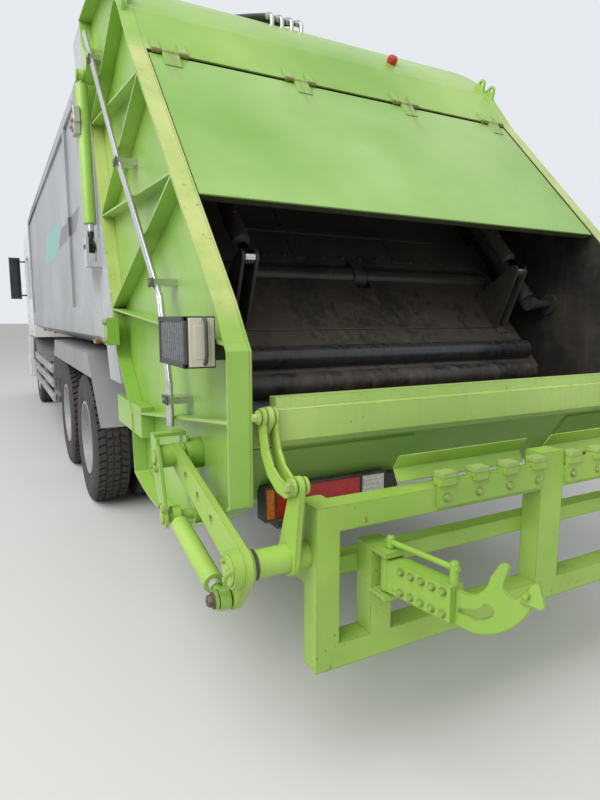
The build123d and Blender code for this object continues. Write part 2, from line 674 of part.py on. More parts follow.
wall_outer_y = wall_inner_y + sheet
shoe_out = (-60, 20)              # slide shoe between its rails
with BuildPart() as tailgate_shell:
    for far in (wall_outer_y, -wall_inner_y):
        extrude(gate_outline(Plane.XZ.offset(-far)), amount=sheet)
    with BuildSketch(Plane.XZ.offset(-wall_inner_y)) as roof:
        with BuildLine():
            Line(cover_hinge_line, roof_start)
            ThreePointArc(roof_start, roof_middle, roof_end)
            Line(roof_end, parting_top)
            offset(amount=sheet, side=Side.RIGHT, kind=Kind.INTERSECTION)
        make_face()
    extrude(roof.sketch, amount=2 * wall_inner_y)
    for near, far in ((wall_inner_y - 55, wall_inner_y + 1), (-wall_inner_y - 1, -wall_inner_y + 55)):
        slide_block(rail_span, (shoe_out[1] + joint_gap, shoe_out[1] + joint_gap + 25), near, far)
        slide_block(rail_span, (shoe_out[0] - joint_gap - 25, shoe_out[0] - joint_gap), near, far)
save(tailgate_shell, "tailgate_shell")

# Hopper trough: a rolled steel sheet between the side walls, from the lip
# round under the packer and up a ramp to the body's floor.
trough_rear_top = (-5240, 1085)
trough_rear_foot = (-5090, 870)
trough_middle = (-4475, 715)
trough_front_foot = (-3900, 850)
ramp_foot_inner = (-3862, 1000)
ramp_top = (parting_x(parting_bottom_z + 5, -8), parting_bottom_z + 5)
trough_sheet = 10
with BuildPart() as hopper_trough:
    with BuildSketch(Plane.XZ.offset(-wall_inner_y)) as section:
        with BuildLine():
            Line(trough_rear_top, trough_rear_foot)
            ThreePointArc(trough_rear_foot, trough_middle, trough_front_foot)
            Polyline(trough_front_foot, (ramp_foot_inner[0] - 30, ramp_foot_inner[1]), ramp_top)
            offset(amount=trough_sheet, side=Side.RIGHT, kind=Kind.INTERSECTION)
        make_face()
    extrude(section.sketch, amount=2 * wall_inner_y)
save(hopper_trough, "hopper_trough")

# Hopper lip: a box beam across the mouth with a folded upper strip, cut back
# at its ends for the lifter's links and their lugs.
lip_low_z = 1085
lip_crease_z = 1210
lip_high_z = 1250
lip_front_x = trough_rear_top[0]
lip_half_width = 1030
lug_y = (1057, 1077)
link_pin_radius = 15
link_eye_radius = 30
with BuildPart() as hopper_lip:
    side_plate([(lip_rear_x + 30, lip_low_z), (lip_rear_x, lip_low_z + 25), (lip_rear_x, lip_crease_z),
                (lip_rear_x + 12, lip_crease_z + 6), (lip_rear_x + 12, lip_high_z), (lip_front_x, lip_high_z),
                (lip_front_x, lip_low_z)], -lip_half_width, lip_half_width)
    bars((lip_front_x - 20, lip_front_x), (lip_half_width - 1, wall_inner_y), (lip_low_z, lip_low_z + 80))
    hull_plates([(link_pin[0], link_pin[1], link_eye_radius + 2), (lip_front_x - 15, lip_low_z + 60, 14),
                 (lip_front_x - 15, lip_low_z + 20, 14)], *lug_y)
    pins(link_pin, link_pin_radius, lug_y[0] - 22, lug_y[1] + 22)
save(hopper_lip, "hopper_lip")

# Tailgate ribs: the flanges round each side sheet, the diagonal stiffeners
# between them, hinge arms, the lift cylinders' lugs and the lifter's brackets.
flange_thickness = 12
rib_thickness = 12
# Stiffeners between the flanges. Columns: start x, start z, end x, end z
rib_table = (
    (-3830, 3020, -3020, 2690),
    (-4270, 2545, -3020, 2680),
    (-4270, 2535, -3243, 2110),
    (-4740, 2030, -3243, 2100),
    (-4740, 2020, -3456, 1560),
    (-5280, 1420, -3460, 1550),
    (-5280, 1180, -3900, 1010),
)
lever_y = (1204, 1228)
bracket_inner_y = (1174, 1186)
bracket_outer_y = (1286, 1298)
lever_pin_radius = 25
lift_pin_radius = 20
arm_radius = 16           # of the hinge arms' rounded ends
lifting_eyes = ((-3921, 3022, 1140), (-3970, 2972, 1178))
lifting_eye_radius = 14
with BuildPart() as tailgate_ribs:
    for far in (flange_outer_y, -wall_outer_y):
        with BuildSketch(Plane.XZ.offset(-far)) as flange:
            add(gate_outline(Plane.XZ.offset(-far)))
            offset(amount=-flange_thickness, kind=Kind.INTERSECTION, mode=Mode.SUBTRACT)
        extrude(flange.sketch, amount=flange_outer_y - wall_outer_y)
    for start_x, start_z, end_x, end_z in rib_table:
        length = hypot(end_x - start_x, end_z - start_z)
        across = (-(end_z - start_z) / length * rib_thickness / 2,
                  (end_x - start_x) / length * rib_thickness / 2)
        side_plates([(start_x + across[0], start_z + across[1]), (end_x + across[0], end_z + across[1]),
                     (end_x - across[0], end_z - across[1]), (start_x - across[0], start_z - across[1])],
                    wall_outer_y, flange_outer_y - 4)
    arm_z = roof_end[1] + arm_radius + rest_gap
    for side in (-1, 1):
        hull_plate([(gate_hinge[0], gate_hinge[1], 50), (gate_hinge[0] - 150, arm_z + 17, arm_radius),
                    (roof_end[0], arm_z, arm_radius)],
                   side * hinge_y - hinge_half, side * hinge_y + hinge_half)
        pin(gate_hinge, hinge_pin_radius + pin_play, side * hinge_y - hinge_half - 1,
            side * hinge_y + hinge_half + 1, Mode.SUBTRACT)
    inner_lug = gate_cylinder_y - gate_eye_half - 4
    outer_lug = gate_cylinder_y + gate_eye_half + 2
    hull_plates([(gate_lug[0], gate_lug[1], 42), (gate_lug[0] + 10, gate_lug[1] + 150, 20),
                 (gate_lug[0] - 120, gate_lug[1] + 60, 20)], wall_outer_y, inner_lug)
    pins(gate_lug, gate_pin_radius, inner_lug - 1, outer_lug + 2)
    pins(gate_lug, gate_pin_radius + 12, outer_lug, outer_lug + 10)
    pins(lever_pivot, 60, wall_outer_y, bracket_inner_y[0] + 1)
    pins(lift_cylinder_pin, 45, wall_outer_y, bracket_inner_y[0] + 1)
    for plate_y in (bracket_inner_y, bracket_outer_y):
        hull_plates([(lever_pivot[0], lever_pivot[1], 58), (lift_cylinder_pin[0], lift_cylinder_pin[1], 40)],
                    *plate_y)
    bars((lever_pivot[0] + 4, lever_pivot[0] + 58), (bracket_inner_y[0], bracket_outer_y[1]),
         (lever_pivot[1] + 74, lever_pivot[1] + 86))
    for plate_y in (bracket_inner_y, bracket_outer_y):
        bars((lever_pivot[0] - 30, lever_pivot[0] + 58), plate_y, (lever_pivot[1] + 20, lever_pivot[1] + 75))
    pins(lever_pivot, lever_pin_radius, bracket_inner_y[1] - 1, bracket_outer_y[0] + 1)
    pins(lift_cylinder_pin, lift_pin_radius, bracket_inner_y[1] - 1, bracket_outer_y[0] + 1)
    for x, z, y in lifting_eyes:
        for side in (-1, 1):
            hull_plate([(x, z, 28), (x - 6, z - 62, 8), (x + 52, z - 4, 8)], side * y - 7, side * y + 7)
            pin((x, z), lifting_eye_radius, side * y - 8, side * y + 8, Mode.SUBTRACT)
    bars((-4080, -3480), (wall_outer_y, flange_outer_y - 5), (905, 1060))
    bars((-3620, -3518), (flange_outer_y - 5, flange_outer_y + 60), (1350, 1500))
save(tailgate_ribs, "tailgate_ribs")

# Rear cover: the slanted lid over the hopper's mouth, on four hinges.
cover_thickness = 30
cover_length = 1010
cover_half_width = wall_inner_y - joint_gap
cover_hinge_radius = 11
cover_pin_radius = 6
cover_hinge_y = (-1010, -337, 337, 1010)
cover_down = (gate_break[0] - cover_hinge_line[0], gate_break[1] - cover_hinge_line[1])
cover_step = hypot(*cover_down)
cover_along = (cover_down[0] / cover_step, cover_down[1] / cover_step)
cover_in = (-cover_along[1], cover_along[0])


def cover_point(down, inward):
    """A side-view point, down the cover from its hinge line and inward."""
    return (cover_hinge_line[0] + cover_along[0] * down + cover_in[0] * inward,
            cover_hinge_line[1] + cover_along[1] * down + cover_in[1] * inward)


def roof_leaf(up, out):
    """A side-view point, up the roof's edge from the cover's hinge line."""
    x, z = along(cover_hinge_line, roof_start, up)
    edge = hypot(roof_start[0] - cover_hinge_line[0], roof_start[1] - cover_hinge_line[1])
    return (x - out * (roof_start[1] - cover_hinge_line[1]) / edge,
            z + out * (roof_start[0] - cover_hinge_line[0]) / edge)


cover_hinge = cover_point(15, -6.5)
with BuildPart() as hopper_cover:
    side_plate([cover_point(24, 4), cover_point(cover_length, 4), cover_point(cover_length, 4 + cover_thickness),
                cover_point(24, 4 + cover_thickness)], -cover_half_width, cover_half_width)
    for y in cover_hinge_y:
        pin(cover_hinge, cover_hinge_radius, y - 40, y + 40)
        side_plate([cover_point(14, -12), cover_point(110, 0), cover_point(110, 6), cover_point(24, 6)],
                   y - 40, y + 40)
        pin(cover_hinge, cover_pin_radius + pin_play, y - 41, y + 41, Mode.SUBTRACT)
save(hopper_cover, "hopper_cover")

# Hinge leaves of the cover on the roof's edge, with their pins.
with BuildPart() as cover_hinges:
    for y in cover_hinge_y:
        for near, far in ((y - 85, y - 42), (y + 42, y + 85)):
            pin(cover_hinge, cover_hinge_radius, near, far)
            side_plate([cover_point(10, -14), roof_leaf(70, 6), roof_leaf(70, rest_gap), roof_leaf(0, rest_gap),
                        cover_point(10, -rest_gap)], near, far)
        pin(cover_hinge, cover_pin_radius, y - 84, y + 84)
save(cover_hinges, "cover_hinges")

# Packer slide: a stiff plate that runs up the guide rails on shoes, with the
# lugs that carry the blade and its cylinders.
slide_half_width = 1000
slide_span = (80, 960)
slide_out = (-70, 30)
blade_pin_radius = 30
blade_tube_radius = 50
blade_lug_y = ((-40, 40), (950, 990), (-990, -950))
blade_cylinder_y = 820
blade_eye_half = 22
blade_rod_pin = (-240, 320)       # on the blade, along and square to the slide
blade_cylinder_top = (900, 300)   # on the slide
blade_eye_radius = 34
lug_side_gap = 3
lug_thickness = 14
small_pin_radius = 18
slide_cylinder_y = 955
slide_cylinder_out = 190
slide_cylinder_span = (-330, 480)
slide_rod_top = 640
with BuildPart() as packer_slide:
    slide_block(slide_span, slide_out, -slide_half_width, slide_half_width)
    for near, far in ((slide_half_width - 1, wall_inner_y - joint_gap),
                      (-wall_inner_y + joint_gap, -slide_half_width + 1)):
        for up in ((110, 330), (700, 920)):
            slide_block(up, shoe_out, near, far)
    for near, far in blade_lug_y:
        hull_plate([(*blade_pivot, 55), (*slide_point(130, -40), 28), (*slide_point(130, 0), 28)], near, far)
    pin(blade_pivot, blade_pin_radius, -980, 980)
    for centre in (-blade_cylinder_y, blade_cylinder_y):
        for edge in (-1, 1):
            y = centre + edge * (blade_eye_half + lug_side_gap + lug_thickness / 2)
            hull_plate([(*slide_point(*blade_cylinder_top), 36), (*slide_point(790, 15), 14),
                        (*slide_point(940, 15), 14)], y - lug_thickness / 2, y + lug_thickness / 2)
        pin(slide_point(*blade_cylinder_top), small_pin_radius, centre - blade_eye_half - 12,
            centre + blade_eye_half + 12)
    for centre in (-slide_cylinder_y, slide_cylinder_y):
        hull_plate([(*slide_point(slide_rod_top, slide_cylinder_out), 34), (*slide_point(slide_rod_top - 20, 15), 14),
                    (*slide_point(slide_rod_top + 120, 15), 14)], centre - 14, centre + 14)
save(packer_slide, "packer_slide")

# Slide cylinders, one at each side wall: barrels on the wall, rods on the slide.
slide_barrel_radius = 45
slide_rod_radius = 25


def slanted_rod(start, end, y, radius, mode=Mode.ADD):
    rod((start[0], y, start[1]), (end[0], y, end[1]), radius, mode)


with BuildPart() as slide_cylinder_barrels:
    low, high = slide_cylinder_span
    for y in (-slide_cylinder_y, slide_cylinder_y):
        slanted_rod(slide_point(low, slide_cylinder_out), slide_point(high, slide_cylinder_out), y,
                    slide_barrel_radius)
        slanted_rod(slide_point(low + 45, slide_cylinder_out), slide_point(high + 1, slide_cylinder_out), y,
                    slide_rod_radius + pin_play, Mode.SUBTRACT)
    lug = slide_point(low - 30, slide_cylinder_out)
    pins(lug, 38, slide_cylinder_y - 22, slide_cylinder_y + 22)
    pins(lug, 24, slide_cylinder_y + 20, wall_inner_y)
    pins(lug, 60, wall_inner_y - 14, wall_inner_y)
save(slide_cylinder_barrels, "slide_cylinder_barrels")

with BuildPart() as slide_cylinder_rods:
    for y in (-slide_cylinder_y, slide_cylinder_y):
        slanted_rod(slide_point(slide_cylinder_span[0] + 50, slide_cylinder_out),
                    slide_point(slide_rod_top - 34 - rest_gap, slide_cylinder_out), y, slide_rod_radius)
save(slide_cylinder_rods, "slide_cylinder_rods")

# Packer blade: a plate hung from the slide, with a big tube and the tip plate
# along its lower edge and the lugs of its cylinders.
blade_half_width = 940
blade_edge_tube = (-700, 0)
blade_edge_radius = 55
with BuildPart() as packer_blade:
    for near, far in ((46, 944), (-944, -46)):
        pin(blade_pivot, blade_tube_radius, near, far)
        slide_block((-110, -20), (-25, 25), near, far)
    slide_block((-690, -100), (-25, 25), -blade_half_width, blade_half_width)
    pin(slide_point(*blade_edge_tube), blade_edge_radius, -blade_half_width + 60, blade_half_width - 60)
    slide_block((-860, -690), (-50, -20), -blade_half_width, blade_half_width)
    for centre in (-blade_cylinder_y, blade_cylinder_y):
        for edge in (-1, 1):
            y = centre + edge * (blade_eye_half + lug_side_gap + lug_thickness / 2)
            hull_plate([(*slide_point(*blade_rod_pin), 34), (*slide_point(-400, 15), 14),
                        (*slide_point(-170, 15), 14)], y - lug_thickness / 2, y + lug_thickness / 2)
    pin(blade_pivot, blade_pin_radius + pin_play, -945, 945, Mode.SUBTRACT)
save(packer_blade, "packer_blade")

# Blade cylinders: barrels hung on the slide, rods ending in an eye between
# the blade's lugs.
blade_barrel_radius = 40
blade_rod_radius = 20
blade_top = slide_point(*blade_cylinder_top)
blade_low = slide_point(*blade_rod_pin)
blade_length = hypot(blade_low[0] - blade_top[0], blade_low[1] - blade_top[1])
blade_barrel_end = blade_length - 100
with BuildPart() as blade_cylinder_barrels:
    for y in (-blade_cylinder_y, blade_cylinder_y):
        pin(blade_top, blade_eye_radius, y - blade_eye_half, y + blade_eye_half)
        slanted_rod(along(blade_top, blade_low, 85), along(blade_top, blade_low, blade_barrel_end), y,
                    blade_barrel_radius)
        slanted_rod(along(blade_top, blade_low, 25), along(blade_top, blade_low, 90), y, blade_rod_radius)
        slanted_rod(along(blade_top, blade_low, 110), along(blade_top, blade_low, blade_barrel_end + 1), y,
                    blade_rod_radius + pin_play, Mode.SUBTRACT)
        pin(blade_top, small_pin_radius + pin_play, y - 35, y + 35, Mode.SUBTRACT)
save(blade_cylinder_barrels, "blade_cylinder_barrels")

with BuildPart() as blade_cylinder_rods:
    for y in (-blade_cylinder_y, blade_cylinder_y):
        pin(blade_low, blade_eye_radius, y - blade_eye_half, y + blade_eye_half)
        pin(blade_low, small_pin_radius, y - blade_eye_half - 2, y + blade_eye_half + 2)
        slanted_rod(along(blade_low, blade_top, 25), along(blade_low, blade_top, blade_length - 180), y,
                    blade_rod_radius)
save(blade_cylinder_rods, "blade_cylinder_rods")

# Lift cylinders of the tailgate, one at each side.
gate_barrel_radius = 38
gate_rod_radius = 20
gate_length = hypot(gate_lug[0] - gate_eye_low[0], gate_lug[1] - gate_eye_low[1])
gate_barrel_end = gate_length - 140
with BuildPart() as gate_cylinder_barrels:
    for y in (-gate_cylinder_y, gate_cylinder_y):
        pin(gate_lug, gate_eye_radius, y - gate_eye_half, y + gate_eye_half)
        slanted_rod(along(gate_lug, gate_eye_low, 25), along(gate_lug, gate_eye_low, 70), y, gate_eye_half - 2)
        slanted_rod(along(gate_lug, gate_eye_low, 60), along(gate_lug, gate_eye_low, gate_barrel_end), y,
                    gate_barrel_radius)
        slanted_rod(along(gate_lug, gate_eye_low, 90), along(gate_lug, gate_eye_low, gate_barrel_end + 1), y,
                    gate_rod_radius + pin_play, Mode.SUBTRACT)
        pin(gate_lug, gate_pin_radius + pin_play, y - 30, y + 30, Mode.SUBTRACT)
save(gate_cylinder_barrels, "gate_cylinder_barrels")

with BuildPart() as gate_cylinder_rods:
    for y in (-gate_cylinder_y, gate_cylinder_y):
        pin(gate_eye_low, gate_eye_radius, y - gate_eye_half, y + gate_eye_half)
        pin(gate_eye_low, gate_pin_radius, y - gate_eye_half - 5, y + gate_eye_half + 5)
        slanted_rod(along(gate_eye_low, gate_lug, 25), along(gate_eye_low, gate_lug, 70), y, gate_eye_half - 2)
        slanted_rod(along(gate_eye_low, gate_lug, 60), along(gate_eye_low, gate_lug, gate_length - 110), y,
                    gate_rod_radius)
save(gate_cylinder_rods, "gate_cylinder_rods")

# Lifter levers, one at each side: plates on the tailgate's bracket with three
# lightening holes and the boss of the torque tube. The lifter's linkage is
# opened at this boss and at the cylinder rod's pin, so both end just short of
# the lever and may run past it.
lift_cylinder_y = 1252
lift_eye_half = 16
lever_boss = 8            # how far the boss stands proud of the lever's inner side
open_gap = 0.8            # along a pin where a linkage is opened
with BuildPart() as lifter_arms:
    hull_plates([(*lever_pivot, 46), (*frame_pivot, 62)], *lever_y)
    hull_plates([(*frame_pivot, 62), (*lift_rod_pin, 40)], *lever_y)
    for distance in (160, 300, 440):
        pins(along(lever_pivot, frame_pivot, distance), 16, lever_y[0] - 1, lever_y[1] + 1, Mode.SUBTRACT)
    pins(lever_pivot, 44, bracket_inner_y[1] + 3, bracket_outer_y[0] - 3)
    pins(lever_pivot, lever_pin_radius + pin_play, bracket_inner_y[1] - 1, bracket_outer_y[0] + 1,
         Mode.SUBTRACT)
    pins(frame_pivot, 55, lever_y[0] - lever_boss, lever_y[1] + 30)
save(lifter_arms, "lifter_arms")

# Lifter cylinders, from the bracket to the levers' lower ends.
lift_barrel_radius = 40
lift_rod_radius = 20
lift_length = hypot(lift_cylinder_pin[0] - lift_rod_pin[0], lift_cylinder_pin[1] - lift_rod_pin[1])
lift_barrel_end = lift_length - 75
with BuildPart() as lifter_cylinder_barrels:
    for y in (-lift_cylinder_y, lift_cylinder_y):
        pin(lift_cylinder_pin, 38, y - lift_eye_half, y + lift_eye_half)
        slanted_rod(along(lift_cylinder_pin, lift_rod_pin, 30), along(lift_cylinder_pin, lift_rod_pin, 70), y,
                    lift_eye_half - 2)
        slanted_rod(along(lift_cylinder_pin, lift_rod_pin, 60),
                    along(lift_cylinder_pin, lift_rod_pin, lift_barrel_end), y, lift_barrel_radius - 7)
        slanted_rod(along(lift_cylinder_pin, lift_rod_pin, 90),
                    along(lift_cylinder_pin, lift_rod_pin, lift_barrel_end + 1), y,
                    lift_rod_radius + pin_play, Mode.SUBTRACT)
        pin(lift_cylinder_pin, lift_pin_radius + pin_play, y - 30, y + 30, Mode.SUBTRACT)
save(lifter_cylinder_barrels, "lifter_cylinder_barrels")

with BuildPart() as lifter_cylinder_rods:
    for y in (-lift_cylinder_y, lift_cylinder_y):
        pin(lift_rod_pin, 36, y - lift_eye_half, y + lift_eye_half)
        slanted_rod(along(lift_rod_pin, lift_cylinder_pin, 28), along(lift_rod_pin, lift_cylinder_pin, 60), y,
                    lift_eye_half - 2)
        slanted_rod(along(lift_rod_pin, lift_cylinder_pin, 50),
                    along(lift_rod_pin, lift_cylinder_pin, lift_length - 120), y, lift_rod_radius)
    pins(lift_rod_pin, lift_pin_radius, lever_y[1] + open_gap, lift_cylinder_y + lift_eye_half + 4)
    pins(lift_rod_pin, lift_pin_radius + 10, lift_cylinder_y + lift_eye_half + 3,
         lift_cylinder_y + lift_eye_half + 13)
save(lifter_cylinder_rods, "lifter_cylinder_rods")

# Lifter frame: welded rectangular tube with the torque tubes and cranks that
# swing it up over the lip.
frame_low_edge = 430
top_rail_z = (870, 950)
crank_y = (1058, 1076)
torque_tube_radius = 42
post_x = (lifter_rear_x, lifter_rear_x + lifter_rail)
hook_hinge_y = 775
hook_hinge_x = lifter_rear_x - 42
hook_plate_z = ((650, 666), (786, 802))
hook_pin_radius = 14
with BuildPart() as lifter_frame:
    bar(post_x, (-lifter_half_width, lifter_half_width), top_rail_z)
    bar(post_x, (-lifter_half_width, lifter_half_width), (frame_low_edge, frame_low_edge + 80))
    bars(post_x, (lifter_half_width - 80, lifter_half_width), (frame_low_edge, top_rail_z[1]))
    bars((post_x[1] - 1, post_x[1] + 40), (lifter_half_width - 80, lifter_half_width), top_rail_z)
    bar(post_x, (-60, 60), (frame_low_edge, 1010))
    bar((post_x[1] - 1, post_x[1] + 60), (-lifter_half_width + 1, lifter_half_width - 1), (690, 750))
    bars(post_x, (hook_hinge_y - 40, hook_hinge_y + 40), (frame_low_edge + 79, hook_plate_z[1][1]))
    for plate_z in hook_plate_z:
        bars((post_x[0] - 75, post_x[0] + 1), (hook_hinge_y - 40, hook_hinge_y + 40), plate_z)
    for side in (-1, 1):
        with Locations((hook_hinge_x, side * hook_hinge_y, (hook_plate_z[0][0] + hook_plate_z[1][1]) / 2)):
            Cylinder(hook_pin_radius, hook_plate_z[1][1] - hook_plate_z[0][0] + 4)
    pins(frame_pivot, torque_tube_radius, lifter_half_width - 1, lever_y[0] - lever_boss - open_gap)
    hull_plates([(*frame_pivot, 56), (*crank_pin, 30)], *crank_y)
    pins(crank_pin, 14 + pin_play, crank_y[0] - 1, crank_y[1] + 1, Mode.SUBTRACT)
save(lifter_frame, "lifter_frame")

# Comb plates with four padded teeth each on the top rail, and the V-shaped
# chute plates behind them.
comb_y = (66, 560)
comb_teeth = 4
comb_tooth_width = 62
with BuildPart() as comb_plates:
    for side in (-1, 1):
        near, far = sorted((side * comb_y[0], side * comb_y[1]))
        bar((post_x[0] - 14, post_x[0]), (near, far), (top_rail_z[0] + 15, 975))
        for tooth in range(comb_teeth):
            pitch = (comb_y[1] - comb_y[0] - comb_tooth_width) / (comb_teeth - 1)
            y = side * (comb_y[0] + comb_tooth_width / 2 + tooth * pitch)
            bar((post_x[0] - 26, post_x[0] + 20), (y - comb_tooth_width / 2, y + comb_tooth_width / 2),
                (960, 1000))
        chute_near, chute_far = sorted((side * 68, side * 660))
        bent_sheet([(post_x[1] - 2, 962), (post_x[1] + 20, 1005), (post_x[1] - 12, 1052)], 5,
                   chute_near, chute_far, Side.RIGHT)
        near, far = sorted((side * 500, side * 512))
        side_plate([(post_x[1] - 30, 950.3), (post_x[1] - 1, 950.3), (post_x[1] + 5, 970), (post_x[1] - 3, 968)],
                   near, far)
save(comb_plates, "comb_plates")

# S-links: curved double plates from the lip's lugs to the cranks.
link_bow = ((-3, -52), (-22, -108), (-62, -158), (-118, -186), (-165, -190))
link_plates_y = ((1041, 1053), (1081, 1093))
with BuildPart() as lifter_links:
    path = [link_pin] + [(link_pin[0] + x, link_pin[1] + z) for x, z in link_bow] + [crank_pin]
    for near, far in link_plates_y:
        for start, end in zip(path, path[1:]):
            hull_plates([(*start, 22), (*end, 22)], near, far)
        pins(link_pin, link_eye_radius, near, far)
        pins(crank_pin, 26, near, far)
        pins(link_pin, link_pin_radius + pin_play, near - 1, far + 1, Mode.SUBTRACT)
    pins(crank_pin, 14, link_plates_y[0][0], link_plates_y[1][1])
save(lifter_links, "lifter_links")

# Hook arms that hold a large bin's trunnions, hinged on the lifter frame and
# swung out to the back: a box arm and a thin jaw, forked at its root, that is
# open at the top, with a small pointed keeper pinned to its tip. The jaw's
# outline is given as distance from the hinge and height.
hook_angle = 80           # back from the frame's plane
hook_low_z = hook_plate_z[0][1] + joint_gap
hook_high_z = hook_plate_z[1][0] - joint_gap
box_length = 248
box_half_width = 28
jaw_half = 6
keeper_pin = (456, 836)
for side_name, side in (("left", 1), ("right", -1)):
    turn = radians(hook_angle)
    forward = Vector(-sin(turn), -side * cos(turn), 0)
    arm_plane = Plane(origin=(hook_hinge_x, side * hook_hinge_y, 0), x_dir=forward,
                      z_dir=forward.cross(Vector(0, 0, 1)))
    with BuildPart() as hook_arm:
        with Locations((hook_hinge_x, side * hook_hinge_y, (hook_low_z + hook_high_z) / 2)):
            Cylinder(28, hook_high_z - hook_low_z)
        with BuildSketch(arm_plane.offset(-box_half_width)) as box:
            with Locations(((box_length + 10) / 2, (hook_low_z + hook_high_z) / 2)):
                Rectangle(box_length - 10, hook_high_z - hook_low_z - 4)
        extrude(amount=2 * box_half_width)
        with BuildSketch(arm_plane.offset(-jaw_half)) as jaw:
            with BuildLine():
                Polyline((225, 665), (225, 765), (285, 768))
                ThreePointArc((285, 768), (330, 796), (350, 840))
                Line((350, 840), (372, 880))
                ThreePointArc((372, 880), (388, 890), (401, 880))
                Line((401, 880), (390, 842))
                ThreePointArc((390, 842), (404, 811), (434, 824))
                Line((434, 824), (462, 858))
                ThreePointArc((462, 858), (475, 856), (478, 842))
                ThreePointArc((478, 842), (424, 738), (310, 667))
                Line((310, 667), (225, 665))
            make_face()
            with BuildLine():
                Polyline((258, 704), (258, 717), (296, 728))
                ThreePointArc((296, 728), (318, 738), (336, 757))
                ThreePointArc((336, 757), (360, 760), (362, 740))
                ThreePointArc((362, 740), (330, 715), (290, 706))
                Line((290, 706), (258, 704))
            make_face(mode=Mode.SUBTRACT)
        extrude(amount=2 * jaw_half)
        outer = side * jaw_half
        with BuildSketch(arm_plane.offset(outer)) as keeper:
            with BuildLine():
                Polyline((440, 812), (466, 868), (486, 882), (490, 866), (504, 824), (494, 812), (440, 812))
            make_face()
        extrude(amount=side * 8)
        with BuildSketch(arm_plane.offset(-side * 12)) as keeper_bolt:
            with Locations(keeper_pin):
                Circle(9)
        extrude(amount=side * 34)
        with Locations((hook_hinge_x, side * hook_hinge_y, (hook_low_z + hook_high_z) / 2)):
            Cylinder(hook_pin_radius + pin_play, 200, mode=Mode.SUBTRACT)
    save(hook_arm, f"{side_name}_hook_arm")

# Lamps: the long tail lamps under the lip on a plate against the trough, and
# the boxes on the tailgate's sides.
lamp_y = (450, 970)
lamp_z = (765, 905)
lamp_rear_x = -5170
side_lamp_x = (-5200, -4900)
side_lamp_z = (1345, 1505)
drop = (trough_rear_foot[0] - trough_rear_top[0], trough_rear_foot[1] - trough_rear_top[1])
drop_length = hypot(*drop)
outward = (drop[1] / drop_length, -drop[0] / drop_length)
with BuildPart() as rear_lamps:
    near_sheet = trough_sheet + rest_gap
    far_sheet = near_sheet + 8
    side_plates([(trough_rear_top[0] + outward[0] * near_sheet + 8,
                  trough_rear_top[1] + outward[1] * near_sheet - 12),
                 (trough_rear_foot[0] + outward[0] * near_sheet, trough_rear_foot[1] + outward[1] * near_sheet),
                 (trough_rear_foot[0] + outward[0] * far_sheet, trough_rear_foot[1] + outward[1] * far_sheet),
                 (trough_rear_top[0] + outward[0] * (near_sheet + 8) + 8,
                  trough_rear_top[1] + outward[1] * (near_sheet + 8) - 12)], lamp_y[0] - 20, lamp_y[1] + 20)
    housing_foot = (trough_rear_foot[0] + outward[0] * (near_sheet + 4),
                    trough_rear_foot[1] + outward[1] * (near_sheet + 4))
    housing_top_x = housing_foot[0] - (lamp_z[1] - housing_foot[1]) * drop[0] / -drop[1]
    side_plates([(lamp_rear_x, lamp_z[0]), (lamp_rear_x, lamp_z[1]), (housing_top_x, lamp_z[1]), housing_foot,
                 (housing_foot[0], lamp_z[0])], *lamp_y)
    bars(side_lamp_x, (flange_outer_y, flange_outer_y + 90), side_lamp_z)
    for x in (side_lamp_x[0] + 60, side_lamp_x[1] - 60):
        bars((x - 20, x + 20), (wall_outer_y, flange_outer_y + 1), (side_lamp_z[0] + 20, side_lamp_z[0] + 70))
save(rear_lamps, "rear_lamps")

# Twin hydraulic pipes down each side of the tailgate, in clamps.
pipe_radius = 11
pipe_path = ((-3050, 3190), (-3860, 2300), (-4600, 1580), (-4700, 1240), (-4700, 1075))
pipe_y = flange_outer_y + pipe_radius + 1
roof_hose_radius = 15
roof_fitting_radius = 13
roof_hose_y = (240, 175, 110, 45)
roof_hose_route = ((-3565, 0, 3276), (-3440, 15, 3325), (-3300, 80, 3364), (-3185, 155, 3386),
                   (-3095, 250, 3396), (-3025, 345, 3398))
roof_centre = arc_centre(roof_start, roof_middle, roof_end)
roof_radius = hypot(roof_start[0] - roof_centre[0], roof_start[1] - roof_centre[1])


def roof_hose_point(step, y):
    """A point of the roof hose that leaves its elbow at y."""
    x, across, z = roof_hose_route[step]
    return (x, y + across, z)


with BuildPart() as hydraulic_pipes:
    for side in (-1, 1):
        for pitch in (0, 30):
            points = [(x + pitch, side * pipe_y, z) for x, z in pipe_path]
            with BuildLine() as route:
                FilletPolyline(*points, radius=90)
            with BuildSketch(Plane(origin=route.line @ 0, z_dir=route.line % 0)):
                Circle(pipe_radius)
            sweep(path=route.line)
        for x, z in (along(pipe_path[0], pipe_path[1], 300), along(pipe_path[1], pipe_path[2], 60),
                     along(pipe_path[2], pipe_path[1], 90), along(pipe_path[3], pipe_path[4], 60)):
            near, far = sorted((side * (wall_outer_y + rest_gap), side * (pipe_y + pipe_radius + 6)))
            bar((x - 25, x + 55), (near, far), (z - 14, z + 14))
    for y in roof_hose_y:
        start, second = Vector(*roof_hose_point(0, y)), Vector(*roof_hose_point(1, y))
        last, end = Vector(*roof_hose_point(-2, y)), Vector(*roof_hose_point(-1, y))
        leaving = (second - start).normalized()
        bend = start - leaving * 45
        with BuildLine() as elbow:
            FilletPolyline((bend.X, bend.Y, bend.Z - 70), bend, start, radius=25)
        with BuildSketch(Plane(origin=elbow.line @ 0, z_dir=elbow.line % 0)):
            Circle(roof_fitting_radius)
        sweep(path=elbow.line)
        rod(end, end + (end - last).normalized() * 55, roof_hose_radius + 4)
    with Locations(Location((roof_centre[0], 0, roof_centre[1]), (90, 0, 0))):
        Cylinder(roof_radius + rest_gap, 1600, mode=Mode.SUBTRACT)
save(hydraulic_pipes, "hydraulic_pipes")

